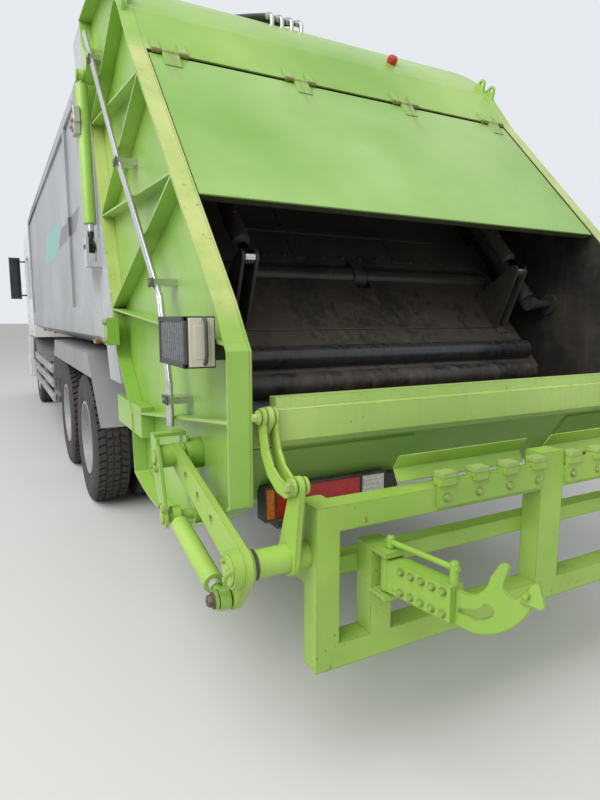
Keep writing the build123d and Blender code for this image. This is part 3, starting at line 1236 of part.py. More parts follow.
# Free hoses on the roof, from the elbows over its crest to the fittings near the
# tailgate's hinge. Each is a tube of straight runs joined by tangent arcs.
for number, y in enumerate(roof_hose_y, start=1):
    points = [Vector(*roof_hose_point(step, y)) for step in range(len(roof_hose_route))]
    radii = []
    for before, point, after in zip(points, points[1:], points[2:]):
        half_turn = radians((point - before).get_angle(after - point)) / 2
        radii.append(0.45 * min((point - before).length, (after - point).length) / tan(half_turn))
    print("roof hose", number, "arc radii", [round(radius) for radius in radii])
    with BuildPart() as roof_hose:
        with BuildLine() as route:
            FilletPolyline(*points, radius=radii)
        with BuildSketch(Plane(origin=route.line @ 0, z_dir=route.line % 0)):
            Circle(roof_hose_radius)
        sweep(path=route.line)
    length = sum(edge.length for edge in route.line.edges())
    print("roof hose", number, "length", round(length, 1), "volume against section times length",
          round(roof_hose.part.volume / (pi * roof_hose_radius ** 2 * length), 4))
    save(roof_hose, f"roof_hose_{number}")
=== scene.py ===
import math

import bmesh
import bpy
from mathutils import Matrix, Vector


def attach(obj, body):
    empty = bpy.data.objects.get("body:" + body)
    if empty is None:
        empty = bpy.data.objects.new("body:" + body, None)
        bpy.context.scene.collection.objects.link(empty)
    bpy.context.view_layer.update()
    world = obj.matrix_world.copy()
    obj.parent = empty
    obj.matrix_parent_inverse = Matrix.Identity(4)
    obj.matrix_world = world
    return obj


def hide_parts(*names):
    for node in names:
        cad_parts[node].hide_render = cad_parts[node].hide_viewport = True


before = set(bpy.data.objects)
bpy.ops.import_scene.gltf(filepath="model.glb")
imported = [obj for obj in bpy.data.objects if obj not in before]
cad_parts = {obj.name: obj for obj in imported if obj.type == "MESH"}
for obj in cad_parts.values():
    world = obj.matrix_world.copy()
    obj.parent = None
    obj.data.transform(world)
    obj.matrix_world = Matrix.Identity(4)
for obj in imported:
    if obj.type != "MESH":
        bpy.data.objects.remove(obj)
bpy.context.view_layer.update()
scene = bpy.context.scene

# The view: a person stands behind the truck's left rear corner, holds the
# camera at eye height and tips it a little down towards the bin lifter. All
# sizes are drawn, as in the CAD source, from a point this far ahead of the origin.
middle_shift = Vector((0.152, 0, 0))
camera_place = Vector((-6.90, 1.80, 1.50)) + middle_shift
camera_turn = math.radians(28.0)
camera_tip = math.radians(8.2)
lens_length = 25.65
look = Vector((math.cos(camera_turn) * math.cos(camera_tip), -math.sin(camera_turn) * math.cos(camera_tip),
               -math.sin(camera_tip)))
right = Vector((-math.sin(camera_turn), -math.cos(camera_turn), 0))
above = right.cross(look)
camera = bpy.data.objects.new("camera", bpy.data.cameras.new("camera"))
camera.data.lens = lens_length
camera.data.sensor_width = 36
camera.data.clip_end = 500
camera.matrix_world = Matrix.Translation(camera_place) @ Matrix((right, above, -look)).transposed().to_4x4()
scene.collection.objects.link(camera)
scene.camera = camera

# The studio: a pale floor that runs to the horizon, a pale sky all round and
# one wide soft lamp, so that the paint shows about as it is mixed.
scene.view_settings.view_transform = "Standard"


def wire(tree, kind, sockets=None, **settings):
    """Adds a shader node, with its sockets set or linked."""
    made = tree.nodes.new(kind)
    for key, value in settings.items():
        setattr(made, key, value)
    for socket, value in (sockets or {}).items():
        if isinstance(value, bpy.types.NodeSocket):
            tree.links.new(value, made.inputs[socket])
        else:
            made.inputs[socket].default_value = value
    return made


def new_finish(name):
    """A fresh material, with its node tree and its shader."""
    material = bpy.data.materials.new(name)
    material.use_nodes = True
    tree = material.node_tree
    return material, tree, tree.nodes["Principled BSDF"]


floor_mesh = bpy.data.meshes.new("floor")
reach = 160
floor_mesh.from_pydata([(-reach, -reach, 0), (reach, -reach, 0), (reach, reach, 0), (-reach, reach, 0)], [],
                       [(0, 1, 2, 3)])
floor = bpy.data.objects.new("floor", floor_mesh)
scene.collection.objects.link(floor)
floor_paint, _, floor_skin = new_finish("floor_paint")
floor_skin.inputs["Base Color"].default_value = (0.62, 0.61, 0.59, 1)
floor_skin.inputs["Roughness"].default_value = 0.95
floor_mesh.materials.append(floor_paint)

sky = bpy.data.worlds.new("sky")
scene.world = sky
sky.use_nodes = True
sky_tree = sky.node_tree
sky_tree.nodes.clear()
rays = wire(sky_tree, "ShaderNodeLightPath")
seen = wire(sky_tree, "ShaderNodeMath", {0: rays.outputs["Is Camera Ray"], 1: rays.outputs["Is Glossy Ray"]},
            operation="MAXIMUM")
seen = wire(sky_tree, "ShaderNodeMath", {0: seen.outputs[0], 1: rays.outputs["Is Transmission Ray"]},
            operation="MAXIMUM")
light = wire(sky_tree, "ShaderNodeBackground", {"Color": (0.94, 0.97, 1.0, 1), "Strength": 0.72})
backdrop = wire(sky_tree, "ShaderNodeBackground", {"Color": (0.84, 0.87, 0.91, 1), "Strength": 0.95})
both = wire(sky_tree, "ShaderNodeMixShader",
            {0: seen.outputs[0], 1: light.outputs[0], 2: backdrop.outputs[0]})
wire(sky_tree, "ShaderNodeOutputWorld", {"Surface": both.outputs[0]})

lamp = bpy.data.objects.new("lamp", bpy.data.lights.new("lamp", "AREA"))
lamp.data.size = 14
lamp.data.energy = 2400
lamp_turn = Vector((-5, 9, 11)).to_track_quat("Z", "Y").to_matrix().to_4x4()
lamp.matrix_world = Matrix.Translation((-8, 10, 12)) @ lamp_turn
scene.collection.objects.link(lamp)

# Chassis frame, axles, springs and knuckles: heavy steel in black paint, gone
# grey with road dust, thickest where it faces up and low down.


def spread(tree, value, low, high, to_low=0.0, to_high=1.0):
    """Maps a value from one range to another, and no further."""
    return wire(tree, "ShaderNodeMapRange", {0: value, 1: low, 2: high, 3: to_low, 4: to_high}).outputs[0]


def grain(tree, place, size, detail=4.0, rough=0.6, warp=0.0):
    """Cloudy noise, with size as its number of clouds in a metre."""
    return wire(tree, "ShaderNodeTexNoise", {"Vector": place, "Scale": size, "Detail": detail,
                                             "Roughness": rough, "Distortion": warp}).outputs[0]


def blended(tree, share, under, over):
    """One colour laid over another by a share."""
    made = wire(tree, "ShaderNodeMix", {0: share}, data_type="RGBA")
    for socket, colour in ((6, under), (7, over)):
        if isinstance(colour, bpy.types.NodeSocket):
            tree.links.new(colour, made.inputs[socket])
        else:
            made.inputs[socket].default_value = (*colour, 1)
    return made.outputs[2]


def times(tree, first, second, way="MULTIPLY"):
    return wire(tree, "ShaderNodeMath", {0: first, 1: second}, operation=way, use_clamp=True).outputs[0]


def part_of(tree, vector, axis):
    """A vector's x, y or z, as 0, 1 or 2."""
    return wire(tree, "ShaderNodeSeparateXYZ", {0: vector}).outputs[axis]


def facing_way(tree):
    return wire(tree, "ShaderNodeNewGeometry").outputs["Normal"]


def along(tree, vector, direction):
    """How far a vector reaches along a direction."""
    return wire(tree, "ShaderNodeVectorMath", {0: vector, 1: direction}, operation="DOT_PRODUCT").outputs[1]


dust_colour = (0.30, 0.25, 0.19)
rust_colour = (0.16, 0.055, 0.02)


def weathered(name, colour, gloss, dust=0.3, rust=0.0, streaks=0.0, pale=None, edge_wear=0.0, metal=0.0,
              dust_tint=dust_colour, rust_tint=rust_colour, marks=None):
    """Paint or bare metal with cloudy fading, dust, rust specks, run marks and worn edges."""
    material, tree, skin = new_finish(name)
    skin.inputs["Metallic"].default_value = metal
    place = wire(tree, "ShaderNodeTexCoord").outputs["Object"]
    place = wire(tree, "ShaderNodeVectorMath", {0: place, 1: middle_shift}, operation="SUBTRACT").outputs[0]
    clouds = grain(tree, place, 1.1, 5.0, 0.55)
    shown = blended(tree, spread(tree, clouds, 0.35, 0.68), [c * 0.86 for c in colour],
                    pale or [min(1, c * 1.08) for c in colour])
    if marks:
        shown = marks(tree, place, shown)
    speckle = grain(tree, place, 26.0, 7.0, 0.7)
    patches = grain(tree, place, 3.1, 6.0, 0.6, 0.4)
    if streaks:
        long_place = wire(tree, "ShaderNodeMapping", {"Vector": place, "Scale": (9.0, 9.0, 0.55)}).outputs[0]
        runs = spread(tree, grain(tree, long_place, 1.6, 4.0, 0.6), 0.55, 0.8, 0.0, streaks)
        shown = blended(tree, runs, shown, dust_tint)
    facing = facing_way(tree)
    upward = spread(tree, part_of(tree, facing, 2), 0.2, 1.0)
    low_down = spread(tree, part_of(tree, place, 2), 0.2, 2.2, 1.0, 0.25)
    settled = times(tree, times(tree, upward, 0.45), low_down, "ADD")
    dusty = times(tree, spread(tree, times(tree, speckle, patches, "ADD"), 0.85, 1.25), settled)
    dusty = times(tree, dusty, dust)
    shown = blended(tree, dusty, shown, dust_tint)
    if edge_wear:
        rounded = wire(tree, "ShaderNodeBevel", {"Radius": 0.006}, samples=3).outputs[0]
        turned_by = spread(tree, along(tree, rounded, facing), 0.995, 0.93)
        worn = times(tree, turned_by, spread(tree, speckle, 0.4, 0.62))
        shown = blended(tree, times(tree, worn, edge_wear), shown, rust_tint)
    bumps = spread(tree, speckle, 0.3, 0.8, 0.0, 0.5)
    if rust:
        specks = grain(tree, place, 70.0, 3.0, 0.5)
        spots = times(tree, spread(tree, specks, 0.66, 0.70), spread(tree, patches, 0.5, 0.62))
        shown = blended(tree, times(tree, spots, rust), shown, rust_tint)
        bumps = times(tree, bumps, spots, "ADD")
    tree.links.new(shown, skin.inputs["Base Color"])
    tree.links.new(spread(tree, dusty, 0.0, 0.7, gloss, 0.85), skin.inputs["Roughness"])
    relief = wire(tree, "ShaderNodeBump", {"Height": bumps, "Strength": 0.12, "Distance": 0.002})
    if edge_wear:
        tree.links.new(rounded, relief.inputs["Normal"])
    tree.links.new(relief.outputs[0], skin.inputs["Normal"])
    return material


def dress(material, *nodes):
    """Gives CAD nodes their finish."""
    for node in nodes:
        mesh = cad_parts[node].data
        mesh.materials.clear()
        mesh.materials.append(material)


chassis_black = weathered("chassis_black", (0.035, 0.035, 0.038), 0.45, dust=0.75, rust=0.5)
dress(chassis_black, "chassis_frame", "axles", "left_knuckle", "right_knuckle")

# Engine and gearbox: one plain block of cast metal that stands on the frame on
# four feet, oily and dusty.
engine_cast = weathered("engine_cast", (0.12, 0.12, 0.125), 0.5, dust=0.8, rust=0.6, metal=0.4)
dress(engine_cast, "engine")

# Tyres: black rubber. The driven axles carry a deep block tread with zigzag
# grooves, and all of them have a rib on the shoulder and one above the bead.
tyre_radius = 0.525
tread_half = 0.104
pitches = 54
pitch_steps = (0.0, 0.05, 0.24, 0.29, 0.5, 0.55, 0.74, 0.79)
right_ribs = (0.015, 0.045, 0.2, 0.42, 0.45, 0.54, 0.57, 0.8, 1)
rib_columns = (*(-across for across in reversed(right_ribs)), *right_ribs)
side_profile = ((0.112, 0.5215), (0.1195, 0.514), (0.1245, 0.505), (0.1262, 0.500), (0.1310, 0.492),
                (0.1365, 0.455), (0.1375, 0.420), (0.1365, 0.392), (0.1372, 0.388), (0.1365, 0.384),
                (0.1320, 0.355), (0.1290, 0.335), (0.1240, 0.322), (0.1180, 0.306), (0.1130, 0.2985))


def groove_depth(share, across):
    """How deep the tread is cut at a share of a pitch and a place across it."""
    if 0.42 < abs(across) < 0.57 and 0.44 < abs(across) < 0.555:
        return 0.012
    if abs(across) < 0.03:
        return 0.011
    if abs(across) >= 0.56:
        return 0.014 if 0.04 < share < 0.25 and abs(across) < 1.01 else 0.0
    return 0.011 if 0.54 < share < 0.75 else 0.0


def add_tyre(points, faces, centre_x, centre_y, centre_z, block_tread):
    rings = []
    for pitch in range(pitches):
        for share in pitch_steps:
            zigzag = 0.0065 * (1 - abs(4 * ((share + 0.25) % 1) - 2))
            ring = []
            for across in rib_columns:
                inner = abs(across) < 0.6
                y = across * tread_half + (zigzag if inner else 0)
                depth = groove_depth(share, across) if block_tread or inner else 0
                if not block_tread and not (0.43 < abs(across) < 0.56 or abs(across) < 0.03):
                    depth = 0
                ring.append((y, tyre_radius - 0.0035 * across * across - depth, share + 0.55 * abs(across)))
            for y, radius in side_profile:
                ring.append((y, radius, share + 0.55))
            for y, radius in reversed(side_profile):
                ring.append((-y, radius, share + 0.55))
            rings.append((pitch, ring))
    start = len(points)
    count = len(rings[0][1])
    for pitch, ring in rings:
        for y, radius, share in ring:
            angle = 2 * math.pi * (pitch + share) / pitches
            points.append((centre_x + radius * math.cos(angle), centre_y + y,
                           centre_z + radius * math.sin(angle)))
    for row in range(len(rings)):
        following = (row + 1) % len(rings)
        for column in range(count):
            beside = (column + 1) % count
            faces.append((start + row * count + column, start + row * count + beside,
                          start + following * count + beside, start + following * count + column))


def join_mesh(name, points, faces, material, body, sharp=35.0):
    """A mesh object made of points and faces, smooth but for its sharp edges, on its body."""
    mesh = bpy.data.meshes.new(name)
    mesh.from_pydata(points, [], faces)
    mesh.validate()
    return keep(name, mesh, material, body, sharp)


def keep(name, mesh, material, body, sharp=35.0):
    """Puts a drawn mesh in its place, smooth but for its sharp edges, on its body."""
    mesh.transform(Matrix.Translation(middle_shift))
    work = bmesh.new()
    work.from_mesh(mesh)
    bmesh.ops.recalc_face_normals(work, faces=work.faces)
    for face in work.faces:
        face.smooth = True
    for edge in work.edges:
        edge.smooth = len(edge.link_faces) == 2 and edge.calc_face_angle(0) < math.radians(sharp)
    work.to_mesh(mesh)
    work.free()
    mesh.materials.clear()
    mesh.materials.append(material)
    made = bpy.data.objects.new(name, mesh)
    scene.collection.objects.link(made)
    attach(made, body)
    return made


tyre_rubber = weathered("tyre_rubber", (0.022, 0.022, 0.023), 0.72, dust=0.55, dust_tint=(0.16, 0.13, 0.10))
axle_places = {"front": 4.35, "middle": -0.6, "rear": -2.0}
dual_places = (0.7275, 1.0625)
front_place = 1.02
sides = (("left", 1), ("right", -1))
for side, sign in sides:
    for axle, axle_x in axle_places.items():
        points, faces = [], []
        centres = (front_place,) if axle == "front" else dual_places
        for centre in centres:
            add_tyre(points, faces, axle_x, sign * centre, tyre_radius, axle != "front")
        node = f"{side}_front_tyre" if axle == "front" else f"{side}_{axle}_tyres"
        body = f"{side}_front_wheel" if axle == "front" else f"{side}_{axle}_wheels"
        tyres = join_mesh(f"treaded_{node}", points, faces, tyre_rubber, body, 30.0)
        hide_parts(node)

# Rims: pressed steel in silver paint, with ten nuts round each hub, a stepped
# hub cover and, on the front wheels, a white disc with round hand holes.


def turned(work, centre, axis, rings, steps=24, spin=0.0):
    """A turned solid on an axis: rings of (radius, height), closed at both ends."""
    frame_turn = Vector(axis).normalized().to_track_quat("Z", "Y")
    rows = []
    for radius, height in rings:
        row = []
        for step in range(steps):
            angle = 2 * math.pi * (step + spin) / steps
            spot = Vector((radius * math.cos(angle), radius * math.sin(angle), height))
            row.append(work.verts.new(Vector(centre) + frame_turn @ spot))
        rows.append(row)
    for low, high in zip(rows, rows[1:]):
        for step in range(steps):
            beside = (step + 1) % steps
            work.faces.new((low[step], low[beside], high[beside], high[step]))
    work.faces.new(list(reversed(rows[0])))
    work.faces.new(rows[-1])


def add_nut(work, centre, axis, size, spin=0.0):
    """A washer and a hexagonal head with a chamfered top, size across its corners."""
    turned(work, centre, axis, ((size * 0.68, 0), (size * 0.68, size * 0.1), (size * 0.62, size * 0.13)), 20)
    turned(work, Vector(centre) + Vector(axis).normalized() * size * 0.12, axis,
           ((size * 0.5, 0), (size * 0.5, size * 0.3), (size * 0.44, size * 0.38)), 6, spin)


def finish_piece(name, work, material, body, sharp=35.0):
    mesh = bpy.data.meshes.new(name)
    work.to_mesh(mesh)
    work.free()
    return keep(name, mesh, material, body, sharp)


rim_silver = weathered("rim_silver", (0.50, 0.51, 0.52), 0.35, dust=0.5, rust=0.7, metal=0.35)
rim_white = weathered("rim_white", (0.72, 0.72, 0.70), 0.4, dust=0.5, rust=0.5)
nut_steel = weathered("nut_steel", (0.24, 0.21, 0.18), 0.5, dust=0.6, rust=0.8, metal=0.7)
wheel_nuts = 10
nut_circle = 0.168
cover_circle = 0.100
hand_hole_circle = 0.232


def round_spots(centre, radius, count, start=0.0):
    """Places evenly spaced on a circle that stands upright along the truck."""
    for number in range(count):
        angle = 2 * math.pi * (number + start) / count
        yield number, Vector(centre) + radius * Vector((math.cos(angle), 0, math.sin(angle)))


for side, sign in sides:
    for axle, axle_x in axle_places.items():
        front = axle == "front"
        body = f"{side}_front_wheel" if front else f"{side}_{axle}_wheels"
        disc_y = sign * (1.0865 if front else 0.9495)
        hub_y = sign * (1.131 if front else 1.0955)
        rim_paint = rim_white if front else rim_silver
        dress(rim_paint, f"{side}_front_rim" if front else f"{side}_{axle}_rims")
        out = (0, sign, 0)
        work = bmesh.new()
        for nut, spot in round_spots((axle_x, disc_y, tyre_radius), nut_circle, wheel_nuts, 0.5):
            add_nut(work, spot, out, 0.036, nut * 0.3)
            turned(work, spot, out, ((0.010, 0.01), (0.010, 0.034), (0.008, 0.037)), 12)
        finish_piece(f"{side}_{axle}_wheel_nuts", work, nut_steel, body)
        work = bmesh.new()
        turned(work, (axle_x, hub_y, tyre_radius), out,
               ((0.118, 0), (0.118, 0.004), (0.112, 0.007), (0.086, 0.007), (0.082, 0.010), (0.078, 0.013)),
               40)
        for bolt, spot in round_spots((axle_x, hub_y + sign * 0.0068, tyre_radius), cover_circle, 8):
            add_nut(work, spot, out, 0.018, bolt * 0.2)
        finish_piece(f"{side}_{axle}_hub_cover", work, rim_paint, body)
        if front:
            # Each hand hole is a thin black disc laid on the white face: painted shade standing for the dark
            # opening.
            work = bmesh.new()
            for _, spot in round_spots((axle_x, disc_y, tyre_radius), hand_hole_circle, 10):
                turned(work, spot, out, ((0.026, 0), (0.026, 0.0008), (0.0255, 0.001)), 20)
            finish_piece(f"{side}_front_hand_holes", work, chassis_black, body)

# Tanks on the frame's sides: black painted sheet, each held by two steel
# straps, with a filler cap on the left one.


def add_block(work, low, high):
    """A box between two corners."""
    made = bmesh.ops.create_cube(work, size=1)["verts"]
    low, high = Vector(low), Vector(high)
    for vert in made:
        vert.co = (low + high) / 2 + vert.co * (high - low)


def side_block(work, sign, x, y, z):
    """A box between pairs of limits, with y measured out to the left (1) or the right (-1)."""
    near, far = sorted((sign * y[0], sign * y[1]))
    add_block(work, (x[0], near, z[0]), (x[1], far, z[1]))


def soften(made, width, segments=2):
    """Rounds a piece's edges."""
    bevel = made.modifiers.new("soft_edges", "BEVEL")
    bevel.width = width
    bevel.segments = segments
    bevel.limit_method = "ANGLE"
    bevel.angle_limit = math.radians(40)
    return made


tank_paint = weathered("tank_paint", (0.06, 0.06, 0.065), 0.4, dust=0.8, streaks=0.25)
dress(tank_paint, "side_tanks")
work = bmesh.new()
strap_thick = 0.003
tanks = ((1, (0.7, 1.5), (0.52, 0.96)), (-1, (0.6, 1.75), (0.48, 0.98)))
for sign, (x_low, x_high), (z_low, z_high) in tanks:
    for share in (0.22, 0.78):
        x = x_low + (x_high - x_low) * share
        strap = (x - 0.02, x + 0.02)
        side_block(work, sign, strap, (1.12, 1.12 + strap_thick), (z_low + 0.055, z_high - 0.055))
        side_block(work, sign, strap, (0.62, 1.06), (z_high, z_high + strap_thick))
finish_piece("tank_straps", work, nut_steel, "chassis")
work = bmesh.new()
turned(work, (1.35, 0.98, 0.955), (0, 0, 1),
       ((0.045, 0), (0.045, 0.03), (0.055, 0.032), (0.055, 0.052), (0.048, 0.058)), 28)
finish_piece("tank_cap", work, chassis_black, "chassis")

# Side guards: folded steel rails in grey paint, bolted to upright posts that
# hang from the frame.
guard_grey = weathered("guard_grey", (0.36, 0.37, 0.385), 0.4, dust=0.6, streaks=0.2)
dress(guard_grey, "side_guards")
work = bmesh.new()
for sign in (1, -1):
    for x in (0.46, 1.95, 3.4):
        for z in (0.56, 0.73, 0.90):
            add_nut(work, (x, sign * 1.235, z), (0, sign, 0), 0.020, x)
finish_piece("side_guard_bolts", work, nut_steel, "chassis")

# Mudguards: folded sheet in a darker grey, on arms from the frame. Dust lies on
# top and has run down the sides.
mudguard_grey = weathered("mudguard_grey", (0.25, 0.26, 0.27), 0.42, dust=0.7, streaks=0.3, rust=0.3)
dress(mudguard_grey, "rear_mudguards", "front_mudguards")

# Compactor body: a welded steel box in silver grey. A dark band runs under the
# roof, and a plain teal patch and a dark stripe are painted on the recessed panel.
body_grey = (0.27, 0.28, 0.287)


def inside(tree, value, low, high, blur=0.004):
    """One between two limits and nought outside them, with a soft edge."""
    rising = spread(tree, value, low - blur, low + blur)
    falling = spread(tree, value, high - blur, high + blur, 1.0, 0.0)
    return times(tree, rising, falling)


def off_middle(tree, place):
    """How far a point lies from the truck's middle line."""
    return wire(tree, "ShaderNodeMath", {0: part_of(tree, place, 1)}, operation="ABSOLUTE").outputs[0]


def body_marks(tree, place, shown):
    """The painted band, diagonal and patch of the sides, and a painted highlight on low upward faces."""
    x, z = part_of(tree, place, 0), part_of(tree, place, 2)
    out = spread(tree, off_middle(tree, place), 1.12, 1.13)
    slant = wire(tree, "ShaderNodeMath", {0: x, 1: 0.052, 2: z}, operation="MULTIPLY_ADD").outputs[0]
    band = times(tree, inside(tree, slant, 2.965, 3.22), inside(tree, x, -2.9, 2.7))
    shown = blended(tree, times(tree, band, out), shown, (0.075, 0.085, 0.095))
    lean = wire(tree, "ShaderNodeMath", {0: z, 1: 1.9, 2: x}, operation="MULTIPLY_ADD").outputs[0]
    patch = times(tree, inside(tree, lean, 3.1, 4.55), inside(tree, z, 2.1, 2.36))
    shown = blended(tree, times(tree, times(tree, patch, out), 0.85), shown, (0.10, 0.42, 0.36))
    stripe = times(tree, inside(tree, lean, 1.65, 2.9), inside(tree, z, 2.12, 2.26))
    shown = blended(tree, times(tree, times(tree, stripe, out), 0.9), shown, (0.09, 0.09, 0.10))
    # Painted highlight: faces that look up, below about 2 m, are made pale grey as if lit by the sky.
    ledge = spread(tree, part_of(tree, facing_way(tree), 2), 0.25, 0.4)
    return blended(tree, times(tree, ledge, spread(tree, z, 2.0, 1.9)), shown, (0.50, 0.51, 0.50))


body_paint = weathered("body_paint", body_grey, 0.3, dust=0.35, streaks=0.22, pale=(0.34, 0.352, 0.36),
                       marks=body_marks)
dress(body_paint, "body_shell")

# Rear frame of the body: thick silver grey posts welded from plate, streaked
# with dust and specked with rust.
frame_grey = weathered("frame_grey", (0.40, 0.415, 0.43), 0.33, dust=0.35, streaks=0.4, rust=0.4,
                       pale=(0.48, 0.495, 0.51))
dress(frame_grey, "body_rear_frame")

# Amber side markers: small moulded plastic lenses, fixed along each side under
# the body's ledge.
amber_lens, amber_tree, amber_skin = new_finish("amber_lens")
amber_place = wire(amber_tree, "ShaderNodeTexCoord").outputs["Object"]
amber_tint = blended(amber_tree, grain(amber_tree, amber_place, 40.0), (0.75, 0.22, 0.02), (0.95, 0.36, 0.05))
amber_tree.links.new(amber_tint, amber_skin.inputs["Base Color"])
amber_skin.inputs["Roughness"].default_value = 0.2
work = bmesh.new()
for sign in (1, -1):
    for x in (-2.31, 1.1, 2.75):
        side_block(work, sign, (x - 0.05, x + 0.05), (1.10, 1.135), (1.305, 1.35))
soften(finish_piece("side_markers", work, amber_lens, "chassis"), 0.008, 3)

# Front bumper and cab shell: pressed steel in white paint, a little dusty. Two
# headlamps on each side have clear domed covers.
cab_white = weathered("cab_white", (0.74, 0.74, 0.72), 0.25, dust=0.35, streaks=0.15, pale=(0.80, 0.80, 0.78))
dress(cab_white, "front_bumper", "cab_shell", "left_door", "right_door")
trim_black = weathered("trim_black", (0.03, 0.03, 0.032), 0.6, dust=0.45)


def clear_lens(name, tint, rough=0.08, through=0.6):
    """Moulded lamp plastic that lets light part way in."""
    material, tree, skin = new_finish(name)
    place = wire(tree, "ShaderNodeTexCoord").outputs["Object"]
    cells = wire(tree, "ShaderNodeTexVoronoi", {"Vector": place, "Scale": 90.0}).outputs[0]
    shown = blended(tree, spread(tree, cells, 0.1, 0.9), [c * 0.7 for c in tint], tint)
    tree.links.new(shown, skin.inputs["Base Color"])
    relief = wire(tree, "ShaderNodeBump", {"Height": cells, "Strength": 0.25, "Distance": 0.002})
    tree.links.new(relief.outputs[0], skin.inputs["Normal"])
    skin.inputs["Roughness"].default_value = rough
    skin.inputs["Transmission Weight"].default_value = through
    return material


headlamp_lens = clear_lens("headlamp_lens", (0.85, 0.88, 0.9), 0.05, 0.5)
work = bmesh.new()
for sign in (1, -1):
    for centre in (0.80, 0.97):
        turned(work, (5.684, sign * centre, 0.64), (1, 0, 0),
               ((0.062, 0), (0.062, 0.02), (0.0558, 0.034), (0.0372, 0.043), (0.0124, 0.047)), 32)
finish_piece("headlamps", work, headlamp_lens, "chassis")

# Cab front: a grille of seven slats between amber indicators, two wipers below
# the screen and a sun visor, all of black plastic but for the indicators.
lowest_slat, slat_pitch, slat_tall = 1.12, 0.062, 0.036
work = bmesh.new()
for slat in range(7):
    z = lowest_slat + slat * slat_pitch
    add_block(work, (5.695, -0.62, z), (5.712, 0.62, z + slat_tall))
add_block(work, (5.69, -0.66, 1.09), (5.702, 0.66, 1.56))
soften(finish_piece("front_grille", work, trim_black, "cab"), 0.004)
work = bmesh.new()
for sign in (1, -1):
    side_block(work, sign, (5.70, 5.715), (0.78, 1.06), (1.16, 1.28))
soften(finish_piece("front_indicators", work, amber_lens, "cab"), 0.008, 3)


def bent_tube(name, points, radius, material, body, sides=4):
    """A round bar or pipe bent through a line of points."""
    curve = bpy.data.curves.new(name, "CURVE")
    curve.dimensions = "3D"
    curve.bevel_depth = radius
    curve.bevel_resolution = sides
    curve.resolution_u = 8
    curve.use_fill_caps = True
    run = curve.splines.new("NURBS")
    run.points.add(len(points) - 1)
    for spot, point in zip(run.points, points):
        spot.co = (*(Vector(point) + middle_shift), 1)
    run.order_u = 3
    run.use_endpoint_u = True
    curve.materials.append(material)
    made = bpy.data.objects.new(name, curve)
    scene.collection.objects.link(made)
    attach(made, body)
    return made


for side, shift in (("left", 0.38), ("right", -0.42)):
    bent_tube(f"{side}_wiper", [(5.70, shift, 1.90), (5.712, shift + 0.12, 1.96), (5.70, shift + 0.42, 2.05),
                                (5.693, shift + 0.52, 2.09)], 0.009, trim_black, "cab")
work = bmesh.new()
add_block(work, (5.50, -1.02, 2.66), (5.66, 1.02, 2.69))
soften(finish_piece("sun_visor", work, trim_black, "cab"), 0.01)

# Glass of the cab and the doors: clear and slightly green, held in the shell,
# with a dusty film.
window_glass, glass_tree, glass_skin = new_finish("window_glass")
glass_place = wire(glass_tree, "ShaderNodeTexCoord").outputs["Object"]
glass_film = grain(glass_tree, glass_place, 2.5, 6.0)
glass_tree.links.new(blended(glass_tree, glass_film, (0.55, 0.62, 0.60), (0.72, 0.78, 0.76)),
                     glass_skin.inputs["Base Color"])
glass_tree.links.new(spread(glass_tree, glass_film, 0.3, 0.8, 0.02, 0.12), glass_skin.inputs["Roughness"])
glass_skin.inputs["Transmission Weight"].default_value = 0.92
glass_skin.inputs["IOR"].default_value = 1.45
dress(window_glass, "cab_glass", "left_door_glass", "right_door_glass")

# Cab interior: dashboard, wheel, seats and bunk in dark grey plastic and cloth,
# a little dusty.
cab_trim = weathered("cab_trim", (0.06, 0.06, 0.065), 0.75, dust=0.2)
dress(cab_trim, "cab_interior")

# Mirrors: black plastic housings on black tube arms. Their glass faces back, and its colour is
# made dark, a painted dim reflection, so it shows little light.
dress(trim_black, "cab_mirrors")
mirror_face = weathered("mirror_face", (0.09, 0.10, 0.11), 0.06, dust=0.1, metal=1.0)
work = bmesh.new()
for sign in (1, -1):
    side_block(work, sign, (5.437, 5.441), (1.305, 1.465), (1.88, 2.61))
soften(finish_piece("mirror_faces", work, mirror_face, "cab"), 0.002)

# Tailgate: folded sheet with welded ribs, in lime green gloss paint, yellowed on
# the flanges beside the cover. Inside the hopper it is black with dried dirt.
roof_centre = (-2.9611, 0, 2.0062)
roof_radius = 1.3674


def from_axis(tree, place, axis):
    """The way and the distance to a point from an axis that lies across the truck."""
    way = wire(tree, "ShaderNodeVectorMath", {0: place, 1: (1, 0, 1), 2: (-axis[0], 0, -axis[2])},
               operation="MULTIPLY_ADD").outputs[0]
    return way, wire(tree, "ShaderNodeVectorMath", {0: way}, operation="LENGTH").outputs[1]


def sun_faded(tree, place, shown):
    """Paint gone yellow, with chips of rust, on the rear flanges beside the cover."""
    backward = along(tree, facing_way(tree), (-0.74, 0, 0.67))
    beside = times(tree, spread(tree, off_middle(tree, place), 1.09, 1.10),
                   inside(tree, part_of(tree, place, 2), 1.52, 2.72, 0.05))
    faded = times(tree, spread(tree, backward, 0.88, 0.93), beside)
    patchy = spread(tree, grain(tree, place, 4.0, 6.0), 0.38, 0.6, 0.35, 0.9)
    shown = blended(tree, times(tree, faded, patchy), shown, (0.52, 0.56, 0.19))
    chips = spread(tree, grain(tree, place, 24.0, 6.0, 0.7), 0.62, 0.66)
    return blended(tree, times(tree, times(tree, faded, chips), 0.7), shown, (0.30, 0.17, 0.06))


